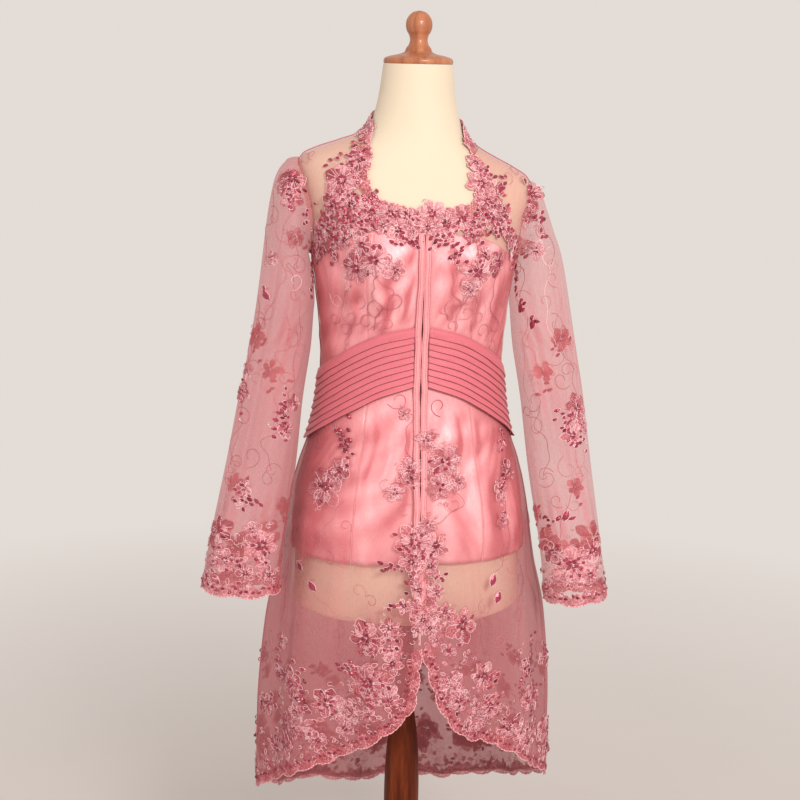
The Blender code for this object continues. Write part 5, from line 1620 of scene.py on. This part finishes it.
# Places of crystals, near-white beads that stand for glints: painted glints.
SPARKLES = (
    (308, 220), (312, 228), (452, 262), (458, 266), (432, 238), (440, 240), (434, 250), (541, 241),
    (478, 278), (415, 555), (405, 540), (572, 565), (562, 560), (370, 690), (462, 632), (268, 560),
    (240, 420), (268, 425), (573, 445), (585, 440), (344, 470), (300, 700), (500, 720), (420, 475),
)  # fmt: skip
CURL_SIZE = 0.85
CURLS = (
    # x, y, radius in millimetres, hand
    (375, 312, 12, 1), (388, 324, 10, -1), (345, 330, 10, 1), (478, 318, 12, -1), (468, 300, 10, 1),
    (496, 325, 10, 1), (360, 300, 9, 1), (334, 318, 9, -1), (505, 300, 9, 1), (452, 325, 9, 1),
    (304, 158, 10, 1), (312, 154, 7, -1), (285, 235, 12, 1), (290, 262, 14, -1), (296, 280, 10, 1),
    (270, 310, 12, 1), (262, 325, 9, -1), (300, 350, 10, 1), (246, 355, 12, -1), (256, 378, 10, 1),
    (252, 455, 13, 1), (238, 462, 10, -1), (230, 480, 10, 1), (268, 480, 9, 1), (300, 330, 8, 1),
    (395, 300, 14, 1), (352, 318, 12, -1), (366, 322, 10, 1), (338, 300, 11, 1), (455, 305, 14, -1),
    (468, 312, 10, 1), (482, 330, 12, 1), (492, 345, 9, -1), (388, 258, 9, 1), (400, 400, 12, 1),
    (438, 405, 11, -1), (330, 425, 12, 1), (318, 440, 9, -1), (318, 535, 10, 1), (345, 525, 8, 1),
    (345, 563, 12, 1), (330, 560, 9, -1), (358, 590, 10, 1), (372, 602, 8, -1), (505, 555, 11, 1),
    (512, 545, 9, -1), (514, 568, 9, 1), (475, 615, 10, -1), (482, 608, 8, 1), (405, 510, 12, 1),
    (385, 485, 12, -1), (455, 505, 10, 1), (515, 172, 9, 1), (524, 180, 7, -1), (508, 176, 8, 1),
    (549, 260, 13, 1), (552, 278, 10, -1), (545, 300, 9, 1), (562, 332, 14, 1), (570, 345, 12, -1),
    (558, 355, 14, 1), (572, 368, 10, 1), (560, 380, 12, -1), (535, 400, 13, 1), (528, 412, 9, -1),
    (568, 470, 14, 1), (580, 478, 10, -1), (548, 478, 12, 1), (575, 505, 9, 1), (556, 500, 9, -1),
    (270, 640, 10, 1), (300, 655, 12, -1), (345, 650, 9, 1), (500, 640, 10, 1), (512, 700, 10, -1),
)  # fmt: skip
TENDRILS = (
    ((352, 252), (349, 285), (353, 318), (348, 346)), ((378, 275), (372, 290), (380, 308), (374, 330)),
    ((497, 272), (490, 300), (497, 325), (488, 350)), ((458, 268), (452, 285), (460, 305), (455, 330)),
    ((345, 165), (325, 168), (305, 160), (298, 168)), ((480, 172), (500, 180), (512, 178), (522, 172)),
    ((295, 210), (280, 240), (284, 275), (275, 300)), ((275, 300), (258, 330), (250, 355), (244, 380)),
    ((243, 405), (236, 440), (232, 470), (224, 510)), ((300, 300), (298, 340), (292, 385), (288, 400)),
    ((540, 250), (548, 275), (545, 310), (556, 345)), ((556, 345), (572, 370), (575, 395), (578, 410)),
    ((530, 330), (524, 370), (530, 410), (536, 450)), ((575, 450), (580, 480), (566, 505), (560, 540)),
    ((375, 275), (392, 295), (385, 318), (368, 330)), ((352, 285), (342, 305), (350, 330), (345, 350)),
    ((478, 285), (460, 305), (450, 318), (440, 312)), ((488, 285), (484, 315), (488, 340), (494, 352)),
    ((400, 405), (412, 420), (405, 440), (412, 460)), ((350, 430), (335, 440), (330, 465), (322, 480)),
    ((345, 500), (330, 520), (318, 545), (300, 562)), ((452, 480), (462, 505), (440, 520), (425, 535)),
    ((505, 500), (508, 540), (500, 565), (494, 580)), ((312, 590), (330, 610), (350, 620), (365, 632)),
    ((495, 600), (485, 612), (475, 618), (465, 622)), ((290, 560), (284, 600), (285, 640), (282, 665)),
    ((300, 440), (302, 480), (298, 520), (296, 560)), ((515, 440), (520, 480), (518, 520), (520, 560)),
    ((420, 600), (405, 625), (402, 650), (398, 675)), ((425, 600), (440, 625), (450, 650), (470, 668)),
)  # fmt: skip


def near_spot(work, x, y):
    """The spot in the picture, only for the piece that is in front there."""
    spot = work.seen(x, y)
    if spot is None:
        return None
    eye = camera_axes()[0]
    away = (spot[0] - eye).length
    for other in works.values():
        hit = other.seen(x, y) if other is not work else None
        if hit is not None and (hit[0] - eye).length < away:
            return None
    return spot


def placed(work, table):
    """The rows of a table whose places are on this piece, each as its spot, its x and the rest."""
    for x, y, *rest in table:
        spot = near_spot(work, x, y)
        if spot:
            yield spot, x, rest


def stitch_front(work):
    for spot, _, (wide, tall, tone) in placed(work, GROUNDS):
        work.ground(spot, wide * PIXEL, tall * PIXEL, tone)
    for spot, _, (wide, tall) in placed(work, OPEN_LACE):
        work.loops(spot, wide * PIXEL, tall * PIXEL, max(wide * tall // 9, 6), (0.002, 0.005))
    for spot, _, (radius, tone, petals, filled) in placed(work, FLOWERS):
        work.flower(spot, radius / 1000, tone, petals, filled)
    for spot, x, (count, wide, tall) in placed(work, DARK_LEAVES):
        spread = np.array((wide, tall)) * PIXEL
        work.dark_leaves(spot, count, spread, 1.0 if x < CENTRE_LINE else -1.0)
    for spot, x, _ in placed(work, LEAF_PAIRS):
        turn = 0.75 if x < CENTRE_LINE else -0.35
        base = -PAIR_LEAF["long"] / 2 * heading(turn)
        work.leaf(spot, base, turn, PAIR_LEAF["long"], PAIR_LEAF["wide"], "sequin", 0.0022, 0.4, "thread")
        work.curl(spot, 0.006, 1.0)
    for spot, _, (radius, hand) in placed(work, CURLS):
        work.curl(spot, radius / 1000 * CURL_SIZE, work.chance.random() * 6, hand)
    for places in TENDRILS:
        if near_spot(work, *places[0]) and near_spot(work, *places[-1]):
            work.tendril([work.seen(*place) for place in places])
    for spot, _, _ in placed(work, SPARKLES):
        for _ in range(4):
            work.bead(spot, work.chance.normal(0, 0.0018, 2))


def stitch_round(work, angles, rises, radii):
    """Flowers, leaves and tendrils at heights above the hem, on the sides that the picture doesn't show."""
    for i, angle in enumerate(angles):
        hem = float(line_at("hem", angle))
        for j, (rise, radius) in enumerate(zip(rises, radii)):
            turn = angle + (3.5 if (i + j) % 2 else -3.5)
            spot = work.round(turn, hem - rise - 0.012 * (i % 3))
            if spot:
                work.flower(spot, radius, work.chance.uniform(0.4, 0.65), 5 + (j == 0), j < 2)
                work.dark_leaves(spot, 5, np.array((0.010, 0.008)), 1.0, (radius * 0.9, radius * 0.5))
                work.ground(spot, radius * 0.7, radius * 0.5, 0.45)
        if i % 2:
            bends = (0, 0.20), (3, 0.26), (-3, 0.33), (2, 0.40)
            vine = [work.round(angle + lean, hem - rise) for lean, rise in bends]
            work.tendril(vine)
            for spot in filter(None, vine):
                work.curl(spot, 0.010, work.chance.random() * 6, 1 if i % 4 == 1 else -1)


BACK_FLOWERS = (
    # angle, depth, radius
    (180, 0.150, 0.026), (163, 0.143, 0.022), (197, 0.143, 0.022), (152, 0.170, 0.017), (208, 0.170, 0.017),
    (171, 0.182, 0.018), (189, 0.182, 0.018), (156, 0.180, 0.015), (204, 0.180, 0.015), (180, 0.215, 0.016),
)  # fmt: skip
SLEEVE_FLOWERS = (
    # shares of the way down the sleeve and round it, radius
    (0.10, 0.66, 0.020), (0.17, 0.80, 0.015), (0.50, 0.62, 0.018), (0.56, 0.74, 0.015), (0.90, 0.60, 0.026),
    (0.93, 0.72, 0.020), (0.90, 0.86, 0.022), (0.80, 0.66, 0.014), (0.84, 0.92, 0.014),
)  # fmt: skip


def stitch_back_yoke(work):
    """A lace yoke below the collar, with sprays down the shoulder blades and the waist."""
    for angle, depth, radius in BACK_FLOWERS:
        spot = work.round(angle, depth)
        work.ground(spot, radius * 0.9, radius * 0.6, 0.45)
        work.flower(spot, radius, 0.5, 5)
        work.dark_leaves(spot, 6, np.array((0.012, 0.008)), 1.0 if angle < 180 else -1.0, (0, -radius))
    for side in (-1, 1):
        for first in (22, 48):
            depths = (0.24, 0.29, 0.34, 0.41)
            vine = [work.round(180 + side * (first + lean), d) for lean, d in zip((0, 5, -2, 3), depths)]
            work.tendril(vine)
            for k, spot in enumerate(filter(None, vine)):
                work.curl(spot, 0.011, k * 1.7, side)
                work.dark_leaves(spot, 2, 0.006, side * 0.8)


def on(work, down, across):
    """The spot at shares of the piece's rows and columns."""
    points = net_grids[work.name]
    row, column = int(down * (len(points) - 1)), int(across * (points.shape[1] - 1))
    way = normals_of(points[:, max(column - 1, 0) : column + 2], False, work.name == FACES_IN)[row, 0]
    return work.near(points[row, column], way)


def stitch_sleeve(work):
    """The sleeve's side and back, which carry the same work as its front."""
    for down, across, radius in SLEEVE_FLOWERS:
        spot = on(work, down, across)
        work.flower(spot, radius, work.chance.uniform(0.35, 0.6), 5, down > 0.4)
        work.dark_leaves(spot, 5, np.array((0.008, 0.009)), 0.8, (0, -radius))
        work.loops(spot, radius * 1.2, radius * 1.2, 8)
    for across in (0.58, 0.78):
        for start in (0.20, 0.42, 0.62):
            bends = enumerate((0, 0.05, -0.02, 0.04))
            vine = [on(work, start + 0.05 * k, across + lean) for k, lean in bends]
            work.tendril(vine)
            work.curl(vine[1], 0.011, 1.0, 1)
            work.curl(vine[3], 0.009, 3.0, -1)


def stitch_collar(work):
    for across in np.linspace(0.05, 0.95, 22):
        spot = on(work, 0.45, across)
        work.ground(spot, 0.011, 0.013, 0.45)
        if 0.2 < across < 0.8:
            work.dark_leaves(spot, 2, 0.005, 1.0)


works = {name: Needlework(name, 7 + i) for i, name in enumerate(net_grids)}
for name, work in works.items():
    sewn[name] = []
    for label, edge in edges_of(name).items():
        label = f"{label}_{name}"
        border(work, label, edge, *BORDERS[label])
        if label in SCATTER:
            edging(work, edge, EDGING, EDGING)
            scatter(work, edge, *SCATTER[label])
for work in works.values():
    stitch_front(work)
for side, angles in (("left", (58, 74, 87)), ("right", (-60, -75, -87))):
    stitch_round(works[f"front_{side}"], angles, (0.050, 0.110, 0.165), (0.022, 0.016, 0.012))
stitch_round(works["back"], np.arange(96, 268, 12.2), (0.055, 0.115, 0.175), (0.025, 0.018, 0.013))
stitch_back_yoke(works["back"])
for side in SIDES:
    stitch_sleeve(works[f"sleeve_{side}"])
stitch_collar(works["collar"])
for work in works.values():
    work.finish()

# Seams: the armholes, the shoulders, the collar's foot and the sides.
side_top = (len(net_grids["front_left"]) - 1) - (len(YOKE) - 1 - ARMHOLE_FIRST_ROW) * PER_ROW
SEAMS = {
    "sleeve_left": [closed(net_grids["sleeve_left"][0])],
    "sleeve_right": [closed(net_grids["sleeve_right"][0])],
    "front_left": [net_grids["front_left"][-1], net_grids["front_left"][:side_top, -1]],
    "front_right": [net_grids["front_right"][-1], net_grids["front_right"][:side_top, 0]],
    "collar": [net_grids["collar"][0]],
}
SPLIT_EDGE_FROM = 0.70  # the depth from which a cord edges the split, in front of the cloth
for name, column in (("front_left", 0), ("front_right", -1)):
    edge = net_grids[name][:, column]
    line = edge[(edge[:, 2] < CAP_UNDERSIDE - SPLIT_EDGE_FROM) & (np.arange(len(edge)) > 0)]
    line = line - (0, NET_WALL, 0)
    sewn[name].append(put(cords(f"split_edge_{name}", [line], CORD["split"], SATIN_THREAD), "net"))
for name, lines in SEAMS.items():
    sewn[name].append(put(cords(f"seams_{name}", lines, CORD["seam"], SEAM_THREAD), "net"))


# ---------------------------------------------------------------- the cloths' cuts
LEAST_WIDTH = 0.01  # metres that a sheet's cut may be wide
LEAST_FILLED = 0.301  # the share of its cut's box that its cloth may fill


def cut_of(points):
    """A piece's cut, from its grid: its greatest width and length, and its area."""
    across = np.linalg.norm(np.diff(points, axis=1), axis=-1).sum(1).max()
    down = np.linalg.norm(np.diff(points, axis=0), axis=-1).sum(0).max()
    first, second = points[1:, 1:] - points[:-1, :-1], points[1:, :-1] - points[:-1, 1:]
    area = np.linalg.norm(np.cross(first, second), axis=-1).sum() / 2
    return (max(round(float(across), 3), LEAST_WIDTH), round(float(down), 3)), round(float(area), 4)


def declare(name, held, *under):
    flat, area = cut_of(cuts[name])
    area = float(np.clip(area, LEAST_FILLED * flat[0] * flat[1], flat[0] * flat[1]))
    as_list(sewn.get(name, []))


for side in ("left", "right"):
    declare(f"front_{side}", "draped", "form_skin", f"lining_front_{side}")
    declare(f"sleeve_{side}", "hung", f"net_front_{side}", "net_back")
    declare(f"satin_front_{side}", "draped", "form_skin")
    declare(f"satin_side_{side}", "draped", "form_skin")
    declare(f"belt_{side}", "stretched", f"net_front_{side}")
    declare(f"placket_{side}", "laid", f"net_front_{side}")
declare("back", "draped", "form_skin", "lining_back")
declare("collar", "draped", "net_back")
declare("satin_back", "draped", "form_skin")
declare("belt_back", "stretched", "net_back")
declare("hook_tape", "laid", "net_front_left")


# ---------------------------------------------------------------- floor, light and camera
BACKGROUND = (0.775, 0.715, 0.670)
FLOOR_RADIUS = 30.0
FLOOR_SIDES = 96
LIGHTS = {
    # place, the point that it faces, diameter, watts, colour
    "key": ((0.68, -2.75, 2.45), (0, 0, 0.95), 0.9, 80, (1.0, 0.97, 0.94)),
    "fill": ((-2.6, -1.8, 1.8), (0, 0, 0.9), 2.0, 11, (1.0, 0.98, 0.96)),
}


def floor_look():
    """Pale near the stand, fading to the same light as the background far away."""
    look = Look("floor_pale", Roughness=0.9)
    pale = look.ramp(look.noise(3.0, 5.0), (0.3, (0.580, 0.529, 0.504)), (0.7, (0.605, 0.554, 0.529)))
    look.set(look.shader, "Base Color", pale)
    glow = look.node("ShaderNodeEmission", Color=BACKGROUND).outputs["Emission"]
    away = look.node("ShaderNodeVectorMath", {"operation": "LENGTH"})
    look.set(away, 0, look.place)
    reach = look.node("ShaderNodeMapRange", Value=away.outputs["Value"], From_Min=0.5, From_Max=2.6)
    look.show(look.blend(look.shader.outputs["BSDF"], glow, reach.outputs["Result"]))
    return look.material


def add_floor():
    turn = np.linspace(0, 2 * math.pi, FLOOR_SIDES, endpoint=False)
    rim = np.stack((np.cos(turn) * FLOOR_RADIUS, np.sin(turn) * FLOOR_RADIUS, 0 * turn), -1)
    floor = add_mesh("floor", rim, [list(range(FLOOR_SIDES))], floor_look(), flat=True)


def add_light(name, place, aim, size, power, colour):
    data = bpy.data.lights.new(name, "AREA")
    data.shape = "DISK"
    data.size = size
    data.energy = power
    data.color = colour
    light = bpy.data.objects.new(name, data)
    light.location = place
    light.rotation_euler = (Vector(aim) - Vector(place)).to_track_quat("-Z", "Y").to_euler()
    bpy.context.scene.collection.objects.link(light)


def add_world():
    world = bpy.data.worlds.new("studio")
    world.use_nodes = True
    world.node_tree.nodes["Background"].inputs["Color"].default_value = (*BACKGROUND, 1)
    world.node_tree.nodes["Background"].inputs["Strength"].default_value = 1.0
    bpy.context.scene.world = world


add_floor()
for name, values in LIGHTS.items():
    add_light(name, *values)
add_world()
add_camera()
bpy.context.scene.view_settings.view_transform = "Standard"
